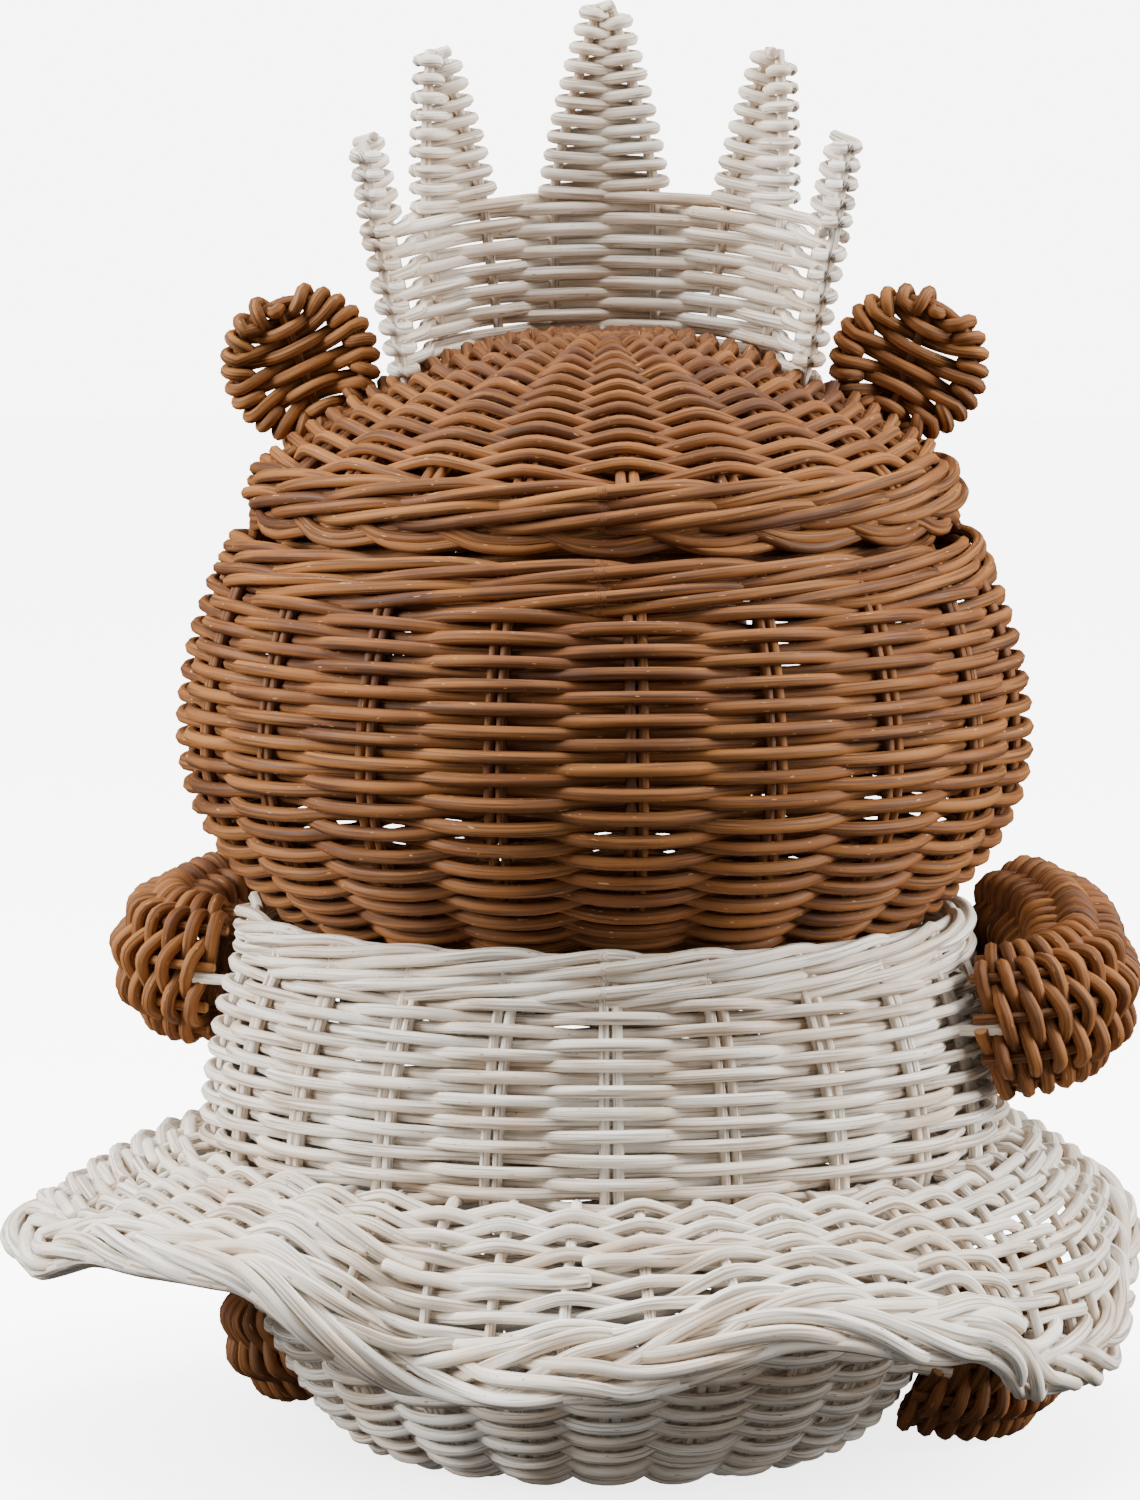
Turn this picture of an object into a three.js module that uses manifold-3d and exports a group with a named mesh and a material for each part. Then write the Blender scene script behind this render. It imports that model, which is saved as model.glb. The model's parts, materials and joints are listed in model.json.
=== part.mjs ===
// A rattan storage basket in the shape of a seated bear. Millimetres, Z up, origin at the middle of the base
// on the floor. The bear faces -Y, so +Y is its back and +X is its left side.
// The body basket wears a wavy woven skirt. The head is a second, round bowl that sits in the body's mouth,
// and its domed lid carries the ears and a half-ring crown. Arms and legs are woven tubes pegged to the body.

import * as THREE from 'three';
import { mergeVertices } from 'three/addons/utils/BufferGeometryUtils.js';
import Module from 'manifold-3d';

const wasm = await Module();
wasm.setup();

const degrees = THREE.MathUtils.degToRad;

// Fits
const GAP = 0.3; // between pieces that touch
const LID_FIT = 1.5; // round the lid's locating ring
const LIMB_STANDOFF = 3; // from a limb's mouth to the wall that it is pegged to

// Cane
const WEAVER = 5;
const STAKE = 4.4;
const PAIR_GAP = 0.4; // between the two stakes of a pair
const STAKE_PAIR = 2 * STAKE + PAIR_GAP;
const WALL = STAKE + 2 * WEAVER;
const PEG = 5;

// Smoothness of round pieces
const ROUND = 28;
const PEG_SIDES = 6;

// Body basket
const BASE_DISC_RADIUS = 84;
const BASE_RADIUS = 97;
const BOWL_FLARE = 42;
const BOWL_FLARE_HEIGHT = 20;
const WAIST_RADIUS = 165;
const WAIST_HEIGHT = 124;
const TORSO_TAPER = 2; // how far the wall has drawn in half way up the torso's curve
const TORSO_RIM_RADIUS = 150.5;
const TORSO_HEIGHT = 219;
const RIM_HEIGHT = 14;
const RIM_WIDTH = 15.5;
const RIM_STANDOUT = 1; // of a rope border past the wall below it
const BODY_STAKES = 21;
const BODY_STAKE_TURN = degrees(-13.1);

// Skirt
const SKIRT_THICKNESS = 10;
const SKIRT_ROOT_THICKNESS = 7;
const SKIRT_LENGTH = 68;
const SKIRT_CURL = 0.4; // share of the droop by which the slope starts flatter and ends steeper
const SKIRT_BORDER_RADIUS = 8.5;
const SKIRT_ROOT_CLEARANCE = 1;
const TONGUE_DEPTH = 3.7; // of the skirt's root, between the wall's outer weavers
const SKIRT_STAKES = 43;
const SKIRT_ROW = 5; // from one row of its weave to the next
const SKIRT_RELIEF = 4;
const SKIRT_EDGE_THICKNESS = 3; // where the border holds it
// How far the skirt hangs below level, and how far it reaches as a share of its length, at azimuths from the
// middle of the back toward the bear's right.
const SKIRT_WAVES = [
  { azimuth: -100, droop: 29, reach: 1.12 },
  { azimuth: -78, droop: 30, reach: 1 },
  { azimuth: -58, droop: 21, reach: 0.84 },
  { azimuth: -40, droop: 22, reach: 0.8 },
  { azimuth: -20, droop: 60, reach: 0.94 },
  { azimuth: 0, droop: 35, reach: 1.14 },
  { azimuth: 18, droop: 23, reach: 1.07 },
  { azimuth: 36, droop: 34, reach: 1.06 },
  { azimuth: 54, droop: 56, reach: 1.15 },
  { azimuth: 70, droop: 59, reach: 1.18 },
  { azimuth: 88, droop: 54, reach: 1 },
  { azimuth: 118, droop: 30, reach: 1.02 },
  { azimuth: 150, droop: 50, reach: 1.04 },
  { azimuth: 180, droop: 34, reach: 1 },
  { azimuth: 210, droop: 28, reach: 1 },
  { azimuth: 236, droop: 46, reach: 1.06 },
  { azimuth: 260, droop: 29, reach: 1.12 },
];

// Head bowl, measured up from its own bottom
const HEAD_BASE_RADIUS = 75;
const HEAD_LOWER_FULLNESS = 44;
const HEAD_RADIUS = 173;
const HEAD_WIDEST = 106;
const HEAD_UPPER_FULLNESS = 41;
const HEAD_RIM_RADIUS = 150.5;
const HEAD_HEIGHT = 189;
const HEAD_STAKES = 19;
const HEAD_STAKE_TURN = degrees(94);

// Lid, measured up from the head's rim
const LID_INSET = 4.5; // how far its border stands in from the head's rim
const LID_EDGE_HEIGHT = 9.4;
const LID_BORDER_HEIGHT = 14;
const LID_SHOULDER = 15;
const LID_RISE = 57.7; // apex above the border
const LID_CENTRE_RADIUS = 60;
const LID_STAKES = 21;
const LID_STAKE_TURN = degrees(3.5);
const LID_ROW = 4.5; // from one row of its weave to the next
const LID_RELIEF = 4.4;
const LID_RINGS = 6; // straight stretches of its outline from border to centre
const LOCATING_RING_HEIGHT = 12;
const LOCATING_RING_WIDTH = 8;

// Ears
const EAR_RADIUS = 30;
const EAR_THICKNESS = 10;
const EAR_SPREAD = 122;
const EAR_HEIGHT = 65; // centre above the head's rim
const EAR_FORWARD = 5;
const EAR_LEAN = degrees(20);
const EAR_LEG_SPACING = 8;
const EAR_LEG_LENGTH = 3; // past the disc's edge

// Crown
const CROWN_SET_BACK = 30;
const CROWN_RADIUS = 80;
const CROWN_FLARE = 10;
const CROWN_HEIGHT = 54;
const CROWN_THICKNESS = 12;
const CROWN_TILT = degrees(9);
const CROWN_SINK = 10;
const CROWN_PEG_DEPTH = 14;
const CROWN_PEG_AZIMUTH = degrees(85);
const SPIKE_THICKNESS = 9;
const SPIKE_TIP = 10;
const SPIKE_STAKE_DEPTH = 28;
const SPIKES = [
  { name: 'far_left', azimuth: 78, width: 30, height: 38 },
  { name: 'left', azimuth: 42, width: 39, height: 65 },
  { name: 'middle', azimuth: 0, width: 50, height: 78 },
  { name: 'right', azimuth: -42, width: 39, height: 65 },
  { name: 'far_right', azimuth: -78, width: 30, height: 38 },
];

// Limbs. The body stands turned under the head, so its own forward direction is off -Y by this much.
const BODY_YAW = degrees(16);
const LIMB_WALL = 10;
const LIMB_SIDES = 10;
const CAP_TURN = degrees(50);
const LIMB_PEG_DEPTH = 9;
const FLOOR_CLEARANCE = 0.5;
const ARM_ROOT_DEPTH = 18; // of the arms' start inside the waist
const ARM = {
  height: 64,
  width: 54,
  start: WAIST_RADIUS - ARM_ROOT_DEPTH,
  forward: -8,
  stub: 14,
  elbow: 28,
  turn: degrees(105),
  bend: 140,
  reach: 68,
  lift: 0,
};
const LEG = {
  height: 62,
  width: 56,
  start: 106,
  forward: 22,
  stub: 16,
  elbow: 30,
  turn: degrees(93),
  bend: 500,
  reach: 108,
  lift: 14, // of its mouth, above the level of the rest
};
const LEFT_ARM_DROP = 33; // of its root below the torso's rim
const RIGHT_ARM_DROP = 41;
const LEFT_ARM = { ...ARM, side: 1, rootHeight: TORSO_HEIGHT - LEFT_ARM_DROP, rise: 15 };
const RIGHT_ARM = { ...ARM, side: -1, rootHeight: TORSO_HEIGHT - RIGHT_ARM_DROP, rise: 24 };
const LEG_HEIGHT = LEG.height / 2 + FLOOR_CLEARANCE;
const LEFT_LEG = { ...LEG, side: 1, rootHeight: LEG_HEIGHT, rise: 0 };
const RIGHT_LEG = { ...LEG, side: -1, rootHeight: LEG_HEIGHT, rise: 0 };

// Face, measured up from the head's bottom
const MUZZLE_RADIUS = 46;
const MUZZLE_DEPTH = 34;
const MUZZLE_WALL = 9;
const MUZZLE_HEIGHT = 94;
const NOSE_RADIUS = 15;
const NOSE_DEPTH = 11;
const EYE_RADIUS = 11;
const EYE_DEPTH = 7;
const EYE_HEIGHT = 134;
const EYE_AZIMUTH = degrees(17);
const SHANK_RADIUS = 2.5;
const SHANK_LENGTH = 8;

// Colours
const BROWN = { color: 0x8a5a36, roughness: 0.6, metalness: 0 };
const WHITE = { color: 0xdedad3, roughness: 0.7, metalness: 0 };
const DARK = { color: 0x3a2618, roughness: 0.45, metalness: 0 };

// Solids

class Solid {
  constructor(manifold) {
    this.manifold = manifold;
  }

  static of(geometry) {
    const bare = geometry.clone();
    bare.deleteAttribute('normal');
    bare.deleteAttribute('uv');
    const merged = mergeVertices(bare, 1e-4);
    const triVerts = new Uint32Array(merged.index.array);
    const vertProperties = new Float32Array(merged.attributes.position.array);
    const made = new wasm.Manifold(new wasm.Mesh({ numProp: 3, vertProperties, triVerts }));
    if (made.volume() >= 0) return new Solid(made);
    for (let i = 0; i < triVerts.length; i += 3) {
      const first = triVerts[i];
      triVerts[i] = triVerts[i + 1];
      triVerts[i + 1] = first;
    }
    return new Solid(new wasm.Manifold(new wasm.Mesh({ numProp: 3, vertProperties, triVerts })));
  }

  minus(...others) {
    return others.reduce((left, other) => new Solid(left.manifold.subtract(other.manifold)), this);
  }

  plus(...others) {
    return others.reduce((left, other) => new Solid(left.manifold.add(other.manifold)), this);
  }

  within(other) {
    return new Solid(this.manifold.intersect(other.manifold));
  }

  mesh(name, finish) {
    const { vertProperties, triVerts } = this.manifold.getMesh();
    const geometry = new THREE.BufferGeometry();
    geometry.setAttribute('position', new THREE.BufferAttribute(vertProperties, 3));
    geometry.setIndex(new THREE.BufferAttribute(triVerts, 1));
    geometry.computeVertexNormals();
    const mesh = new THREE.Mesh(geometry, new THREE.MeshStandardMaterial(finish));
    mesh.name = name;
    return mesh;
  }
}

// A closed ring or cap of revolution round Z, from a loop of [radius, height] points.
function turned(points, segments = ROUND) {
  const loop = [...points, points[0]].map((point) => point.clone());
  return Solid.of(new THREE.LatheGeometry(loop, segments).rotateX(Math.PI / 2));
}

function v2(radius, height) {
  return new THREE.Vector2(radius, height);
}

// A ring with its outer corners cut off, as a rope of twisted weavers takes up.
function ropeRing(inner, outer, bottom, top) {
  const chamfer = Math.min(outer - inner, top - bottom) / 3;
  return turned([
    v2(inner, bottom), v2(outer - chamfer, bottom), v2(outer, bottom + chamfer),
    v2(outer, top - chamfer), v2(outer - chamfer, top), v2(inner, top),
  ]);
}

function rod(from, to, radius) {
  const along = to.clone().sub(from);
  const geometry = new THREE.CylinderGeometry(radius, radius, along.length(), PEG_SIDES);
  const turn = new THREE.Quaternion().setFromUnitVectors(new THREE.Vector3(0, 1, 0), along.normalize());
  geometry.applyQuaternion(turn);
  const middle = from.clone().add(to).multiplyScalar(0.5);
  geometry.translate(middle.x, middle.y, middle.z);
  return Solid.of(geometry);
}

// Woven walls

// The outer outline of a woven wall, from its bottom or border on. Each point also holds the direction
// through the wall's thickness, which is level at the last `level` points, where a flat rim sits on it. The
// wall is turned in `segments` flat steps.
class WallLine {
  constructor(points, thickness, { level = 0, segments = ROUND } = {}) {
    this.thickness = thickness;
    this.segments = segments;
    this.stations = points.map((point, i) => {
      const before = points[Math.max(i - 1, 0)];
      const after = points[Math.min(i + 1, points.length - 1)];
      const along = after.clone().sub(before).normalize();
      const inward = i >= points.length - level ? v2(-1, 0) : v2(-along.y, along.x);
      return { point, inward };
    });
  }

  // The stations from one index to another, the first one moved on by the gap to the band before it.
  stretch(from, to, gap) {
    const picked = this.stations.slice(from, to + 1);
    const step = picked[1].point.clone().sub(picked[0].point).setLength(gap);
    return [{ point: picked[0].point.clone().add(step), inward: picked[0].inward }, ...picked.slice(1)];
  }

  // The closed outline between two depths below the outer surface.
  layer(stations, shallow, deep) {
    const at = (depth) => ({ point, inward }) => point.clone().addScaledVector(inward, depth);
    return [...stations.map(at(shallow)), ...stations.map(at(deep)).reverse()];
  }

  band(from, to, gap = GAP) {
    return turned(this.layer(this.stretch(from, to, gap), 0, this.thickness), this.segments);
  }

  // Everything that the wall encloses, grown by a clearance, with its mouth closed level at a height.
  envelope(clearance, top = this.stations.at(-1).point.y) {
    const grown = this.stations.map(({ point, inward }) => point.clone().addScaledVector(inward, -clearance));
    grown.forEach((point) => point.setX(Math.max(point.x, 0)));
    const mouth = grown.at(-1).x > 0 ? [v2(grown.at(-1).x, top)] : [];
    return turned([...grown, ...mouth, v2(0, top), v2(0, grown[0].y)], this.segments);
  }

  // The pairs of stakes that the wall is woven on, along the middle of its thickness up into its rim.
  stakes({ count, turn, from, clearance }) {
    const shallow = (this.thickness - STAKE) / 2 - clearance;
    const deep = (this.thickness + STAKE) / 2 + clearance;
    const outline = this.layer(this.stretch(from, this.stations.length - 1, GAP - clearance), shallow, deep);
    const width = STAKE_PAIR + 2 * clearance;
    const bar = new THREE.ExtrudeGeometry(new THREE.Shape(outline), { depth: width, bevelEnabled: false });
    bar.translate(0, 0, -width / 2).rotateX(Math.PI / 2);
    return Array.from({ length: count }, (_, i) => (
      Solid.of(bar.clone().rotateZ(turn + (i * 2 * Math.PI) / count))
    ));
  }
}

// Body basket

const bowlCurve = new THREE.QuadraticBezierCurve(
  v2(BASE_RADIUS, 0),
  v2(BASE_RADIUS + BOWL_FLARE, BOWL_FLARE_HEIGHT),
  v2(WAIST_RADIUS, WAIST_HEIGHT),
);
const torsoCurve = new THREE.QuadraticBezierCurve(
  v2(WAIST_RADIUS, WAIST_HEIGHT),
  v2(WAIST_RADIUS - TORSO_TAPER, (WAIST_HEIGHT + TORSO_HEIGHT) / 2),
  v2(TORSO_RIM_RADIUS, TORSO_HEIGHT - RIM_HEIGHT),
);
const bodyLine = new WallLine([
  v2(0, 0),
  v2(BASE_DISC_RADIUS, 0),
  v2(BASE_RADIUS, 0),
  ...[0.12, 0.4, 0.7, 1].map((t) => bowlCurve.getPoint(t)),
  ...[0.5, 1].map((t) => torsoCurve.getPoint(t)),
  v2(TORSO_RIM_RADIUS, TORSO_HEIGHT - RIM_HEIGHT / 2),
], WALL, { level: 2 });
const BODY_AT = { disc: 1, foot: 3, waist: 6, rim: 8 };

function bodyStakes(clearance) {
  return bodyLine.stakes({ count: BODY_STAKES, turn: BODY_STAKE_TURN, from: BODY_AT.foot, clearance });
}

// Skirt

// Between two named waves the droop and the reach follow half a cosine, so that each is a crest or a trough.
function skirtWave(azimuth) {
  const start = SKIRT_WAVES[0].azimuth;
  const angle = start + THREE.MathUtils.euclideanModulo(THREE.MathUtils.radToDeg(azimuth) - start, 360);
  const next = SKIRT_WAVES.findIndex((wave) => wave.azimuth > angle);
  const after = SKIRT_WAVES.at(next);
  const before = SKIRT_WAVES.at(next - 1);
  const share = (angle - before.azimuth) / (after.azimuth - before.azimuth);
  const between = (key) => THREE.MathUtils.lerp(before[key], after[key], (1 - Math.cos(share * Math.PI)) / 2);
  return { droop: degrees(between('droop')), reach: between('reach') };
}

// A point of the skirt's middle surface at a distance out from its root, which grows with the reach. The
// skirt leaves the waist flatter than its droop and steepens evenly to more than it.
function skirtAt(azimuth, distance) {
  const { droop, reach } = skirtWave(azimuth);
  const first = (1 - SKIRT_CURL) * droop;
  const steepening = (2 * SKIRT_CURL * droop) / SKIRT_LENGTH;
  const slope = first + steepening * Math.max(distance, 0);
  const root = WAIST_RADIUS + SKIRT_ROOT_CLEARANCE;
  if (distance <= 0) return { radius: root + distance, height: WAIST_HEIGHT, slope: 0 };
  return {
    radius: root + (reach * (Math.sin(slope) - Math.sin(first))) / steepening,
    height: WAIST_HEIGHT + (reach * (Math.cos(slope) - Math.cos(first))) / steepening,
    slope,
  };
}

// Moves each point of a ring of revolution. The map takes its azimuth from the bear's back toward its right,
// its radius and its height, and gives a new radius and height, and may give a new azimuth.
function displaced(geometry, map) {
  const position = geometry.getAttribute('position');
  const point = new THREE.Vector3();
  for (let i = 0; i < position.count; i += 1) {
    point.fromBufferAttribute(position, i);
    const angle = Math.atan2(-point.x, point.y);
    const { azimuth = angle, radius, height } = map(angle, Math.hypot(point.x, point.y), point.z);
    position.setXYZ(i, -Math.sin(azimuth) * radius, Math.cos(azimuth) * radius, height);
  }
  return Solid.of(geometry);
}

// The number of the skirt stake that is nearest to an angle, and that stake's own azimuth.
function skirtStake(angle) {
  const spacing = (2 * Math.PI) / SKIRT_STAKES;
  const stake = Math.round((angle + Math.PI) / spacing) % SKIRT_STAKES;
  return { stake, azimuth: stake * spacing - Math.PI };
}

// The skirt's rows climb outward in one spiral and pass over every other stake, which leaves a dip between.
function skirtPanel() {
  const half = SKIRT_THICKNESS / 2;
  const rootHalf = SKIRT_ROOT_THICKNESS / 2;
  const inner = -(TONGUE_DEPTH + SKIRT_ROOT_CLEARANCE);
  const last = Math.floor(SKIRT_LENGTH / SKIRT_ROW) - 1;
  const over = [v2(inner, rootHalf), v2(0, rootHalf)];
  for (let row = 1; row <= last; row += 1) over.push(v2(row * SKIRT_ROW, half));
  over.push(v2(SKIRT_LENGTH, SKIRT_EDGE_THICKNESS / 2));
  const under = over.map(({ x, y }) => v2(x, -y));
  const flat = [...under, ...over.reverse(), under[0]].map((point) => point.clone().add(v2(WAIST_RADIUS, 0)));
  const ring = new THREE.LatheGeometry(flat, SKIRT_STAKES).rotateX(Math.PI / 2);
  return displaced(ring, (angle, radius, offset) => {
    const { stake, azimuth } = skirtStake(angle);
    const distance = radius - WAIST_RADIUS;
    const row = Math.round(distance / SKIRT_ROW);
    const woven = row >= 1 && row <= last;
    const dips = woven && (row + stake + (offset > 0 ? 1 : 0)) % 2 === 0;
    const spiral = woven ? (SKIRT_ROW * azimuth) / (2 * Math.PI) : 0;
    const { radius: middle, height, slope } = skirtAt(azimuth, distance + spiral);
    const depth = offset - (dips ? Math.sign(offset) * SKIRT_RELIEF : 0);
    return { azimuth, radius: middle + depth * Math.sin(slope), height: height + depth * Math.cos(slope) };
  });
}

function skirtBorder() {
  const ring = new THREE.TorusGeometry(WAIST_RADIUS, SKIRT_BORDER_RADIUS, 6, SKIRT_STAKES);
  return displaced(ring, (angle, radius, offset) => {
    const { azimuth } = skirtStake(angle);
    const edge = skirtAt(azimuth, SKIRT_LENGTH);
    const beyond = SKIRT_BORDER_RADIUS + 3 * GAP;
    return {
      azimuth,
      radius: edge.radius + beyond * Math.cos(edge.slope) + radius - WAIST_RADIUS,
      height: edge.height - beyond * Math.sin(edge.slope) + offset,
    };
  });
}

function waistGroove() {
  const half = SKIRT_ROOT_THICKNESS / 2 + GAP;
  const floor = WAIST_RADIUS - TONGUE_DEPTH - 2 * GAP;
  const past = WAIST_RADIUS + WALL;
  return turned([
    v2(floor, WAIST_HEIGHT - half), v2(past, WAIST_HEIGHT - half),
    v2(past, WAIST_HEIGHT + half), v2(floor, WAIST_HEIGHT + half),
  ]);
}

// Head bowl

const RIM_MOUTH_RADIUS = TORSO_RIM_RADIUS - RIM_WIDTH;
const MOUTH_RADIUS = HEAD_RIM_RADIUS - RIM_WIDTH;

// The head sinks into the body's mouth until its wall is as wide as the mouth, on the curve of its lower
// half.
const seatShare = 1 - Math.sqrt((HEAD_RADIUS - RIM_MOUTH_RADIUS) / (HEAD_RADIUS - HEAD_BASE_RADIUS));
const seatDepth = 2 * seatShare * (1 - seatShare) * HEAD_LOWER_FULLNESS + seatShare ** 2 * HEAD_WIDEST;
const HEAD_BOTTOM = TORSO_HEIGHT - seatDepth;
const HEAD_TOP = HEAD_BOTTOM + HEAD_HEIGHT;

const headLowerCurve = new THREE.QuadraticBezierCurve(
  v2(HEAD_BASE_RADIUS, HEAD_BOTTOM),
  v2(HEAD_RADIUS, HEAD_BOTTOM + HEAD_LOWER_FULLNESS),
  v2(HEAD_RADIUS, HEAD_BOTTOM + HEAD_WIDEST),
);
const headUpperCurve = new THREE.QuadraticBezierCurve(
  v2(HEAD_RADIUS, HEAD_BOTTOM + HEAD_WIDEST),
  v2(HEAD_RADIUS, HEAD_BOTTOM + HEAD_WIDEST + HEAD_UPPER_FULLNESS),
  v2(HEAD_RIM_RADIUS, HEAD_TOP),
);
const HEAD_WALL_SHARE = 0.84; // of the upper curve that is woven wall, below the rim
const HEAD_RIM_MIDDLE = 0.93;
const headLine = new WallLine([
  v2(0, HEAD_BOTTOM),
  v2(HEAD_BASE_RADIUS, HEAD_BOTTOM),
  ...[0.25, 0.5, 0.75, 1].map((t) => headLowerCurve.getPoint(t)),
  ...[0.45, HEAD_WALL_SHARE, HEAD_RIM_MIDDLE].map((t) => headUpperCurve.getPoint(t)),
], WALL, { level: 2 });
const HEAD_AT = { disc: 1, rim: 7 };

function headStakes(clearance) {
  return headLine.stakes({ count: HEAD_STAKES, turn: HEAD_STAKE_TURN, from: HEAD_AT.disc, clearance });
}

function torsoRim() {
  const bottom = TORSO_HEIGHT - RIM_HEIGHT + GAP;
  return ropeRing(RIM_MOUTH_RADIUS - WEAVER, TORSO_RIM_RADIUS + RIM_STANDOUT, bottom, TORSO_HEIGHT);
}

function headRim() {
  const wallTop = headUpperCurve.getPoint(HEAD_WALL_SHARE);
  return ropeRing(MOUTH_RADIUS, wallTop.x + RIM_STANDOUT, wallTop.y + GAP, HEAD_TOP);
}

// Lid

const LID_BOTTOM = HEAD_TOP + GAP;
const LID_RADIUS = HEAD_RIM_RADIUS - LID_INSET;
const LID_BORDER_BOTTOM = LID_BOTTOM + LID_EDGE_HEIGHT + GAP;
const LID_DOME_FOOT = LID_BORDER_BOTTOM + LID_BORDER_HEIGHT;

function domeHeight(radius) {
  return LID_DOME_FOOT + LID_RISE * (1 - (radius / LID_RADIUS) ** 2);
}

function domePoint(radius) {
  return v2(radius, domeHeight(radius));
}

const lidDomeEdge = LID_RADIUS - LID_SHOULDER;
const lidLine = new WallLine([
  v2(LID_RADIUS, LID_BORDER_BOTTOM),
  v2(LID_RADIUS + RIM_STANDOUT, LID_BORDER_BOTTOM + LID_BORDER_HEIGHT / 2),
  v2(LID_RADIUS - LID_SHOULDER / 5, LID_DOME_FOOT + RIM_STANDOUT),
  ...Array.from({ length: LID_RINGS + 1 }, (_, i) => (
    domePoint(THREE.MathUtils.lerp(lidDomeEdge, LID_CENTRE_RADIUS, i / LID_RINGS))
  )),
  domePoint(LID_CENTRE_RADIUS / 2),
  domePoint(0),
], 3 * STAKE, { segments: 2 * LID_STAKES });
const LID_AT = { dome: 3, centre: 3 + LID_RINGS, apex: 5 + LID_RINGS };

// The dome between its border and its centre. Its rows climb in one spiral over every other stake, and
// leave a dip in the outer face at each stake that they pass under.
function lidRows() {
  const steepness = (radius) => Math.hypot(1, (2 * LID_RISE * radius) / LID_RADIUS ** 2);
  const stretch = lidLine.stretch(LID_AT.dome, LID_AT.centre, 3 * GAP);
  const [edge, centre] = [stretch[0].point, stretch.at(-1).point];
  const rows = [];
  let next = lidDomeEdge - LID_ROW / steepness(lidDomeEdge);
  while (next - LID_ROW > LID_CENTRE_RADIUS) {
    rows.push(next);
    next -= LID_ROW / steepness(next);
  }
  const under = stretch.map(({ point, inward }) => point.clone().addScaledVector(inward, lidLine.thickness));
  const outline = [edge, ...rows.map(domePoint), centre, ...under.reverse(), edge];
  const turn = Math.PI + LID_STAKE_TURN;
  const ring = new THREE.LatheGeometry(outline, 2 * LID_STAKES).rotateX(Math.PI / 2).rotateZ(turn);
  return displaced(ring, (angle, radius, height) => {
    const row = rows.findIndex((place) => Math.hypot(place - radius, domeHeight(place) - height) < GAP / 3);
    if (row < 0) return { radius, height };
    const column = Math.round(((angle - LID_STAKE_TURN) * LID_STAKES) / Math.PI);
    const dip = column % 2 ? 1 / 2 : Math.abs((row + 1 + column / 2) % 2);
    const spiral = (LID_ROW * angle) / (2 * Math.PI);
    const out = radius - spiral / steepness(radius);
    const slope = Math.atan((2 * LID_RISE * out) / LID_RADIUS ** 2);
    const depth = dip * LID_RELIEF;
    return { radius: out - depth * Math.sin(slope), height: domeHeight(out) - depth * Math.cos(slope) };
  });
}

// Ears

// An ear's own frame has Y along the disc's axis and Z up the leaning disc.
function earPlace(side) {
  const place = new THREE.Matrix4().makeRotationY(side * EAR_LEAN);
  return place.setPosition(side * EAR_SPREAD, -EAR_FORWARD, HEAD_TOP + EAR_HEIGHT);
}

function earHoop(side, clearance) {
  const middle = EAR_RADIUS - STAKE;
  const tube = STAKE / 2 + clearance;
  const ring = new THREE.TorusGeometry(middle, tube, 5, 18).rotateX(Math.PI / 2);
  const legTop = -Math.sqrt(middle ** 2 - EAR_LEG_SPACING ** 2);
  const legEnd = -(EAR_RADIUS + EAR_LEG_LENGTH) - clearance;
  const legs = [-1, 1].map((end) => {
    const leg = new THREE.CylinderGeometry(tube, tube, legTop - legEnd, PEG_SIDES).rotateX(Math.PI / 2);
    leg.translate(end * EAR_LEG_SPACING, 0, (legTop + legEnd) / 2);
    return Solid.of(leg.applyMatrix4(earPlace(side)));
  });
  return Solid.of(ring.applyMatrix4(earPlace(side))).plus(...legs);
}

function earWeave(side) {
  const disc = new THREE.CylinderGeometry(EAR_RADIUS, EAR_RADIUS, EAR_THICKNESS, 24);
  return Solid.of(disc.applyMatrix4(earPlace(side))).minus(earHoop(side, GAP), lidLine.envelope(2 * GAP));
}

// Crown

// The crown's own frame stands on the lid between its two ends, with the middle of the band raised.
const crownFoot = domeHeight(Math.hypot(CROWN_RADIUS, CROWN_SET_BACK));
const crownPlace = new THREE.Matrix4().makeRotationX(-CROWN_TILT).setPosition(0, CROWN_SET_BACK, crownFoot);

// A point of the band's middle surface. Azimuths run from the middle of the band toward the bear's left.
function crownPoint(azimuth, height) {
  const radius = CROWN_RADIUS + (CROWN_FLARE * height) / CROWN_HEIGHT;
  return new THREE.Vector3(Math.sin(azimuth) * radius, -Math.cos(azimuth) * radius, height);
}

function crownBand(cuts) {
  const half = CROWN_THICKNESS / 2;
  const below = -CROWN_SINK;
  const lower = CROWN_RADIUS + (CROWN_FLARE * below) / CROWN_HEIGHT;
  const upper = CROWN_RADIUS + CROWN_FLARE;
  const ring = new THREE.LatheGeometry([
    v2(lower - half, below), v2(lower + half, below), v2(upper + half, CROWN_HEIGHT),
    v2(upper - half, CROWN_HEIGHT), v2(lower - half, below),
  ], ROUND).rotateX(Math.PI / 2);
  const reach = 4 * CROWN_RADIUS;
  const front = new THREE.BoxGeometry(reach, reach, reach).translate(0, -reach / 2, 0);
  const arc = Solid.of(ring.applyMatrix4(crownPlace)).within(Solid.of(front.applyMatrix4(crownPlace)));
  return arc.minus(lidLine.envelope(2 * GAP), ...cuts);
}

// A spike's own frame has X along the band, Y up the leaning spike and Z outward.
function spikePlace({ azimuth }) {
  const angle = degrees(azimuth);
  const top = crownPoint(angle, CROWN_HEIGHT);
  const up = top.clone().sub(crownPoint(angle, 0)).normalize();
  const outward = new THREE.Vector3(Math.sin(angle), -Math.cos(angle), 0);
  outward.addScaledVector(up, -outward.dot(up)).normalize();
  const along = up.clone().cross(outward);
  return crownPlace.clone().multiply(new THREE.Matrix4().makeBasis(along, up, outward).setPosition(top));
}

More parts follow.
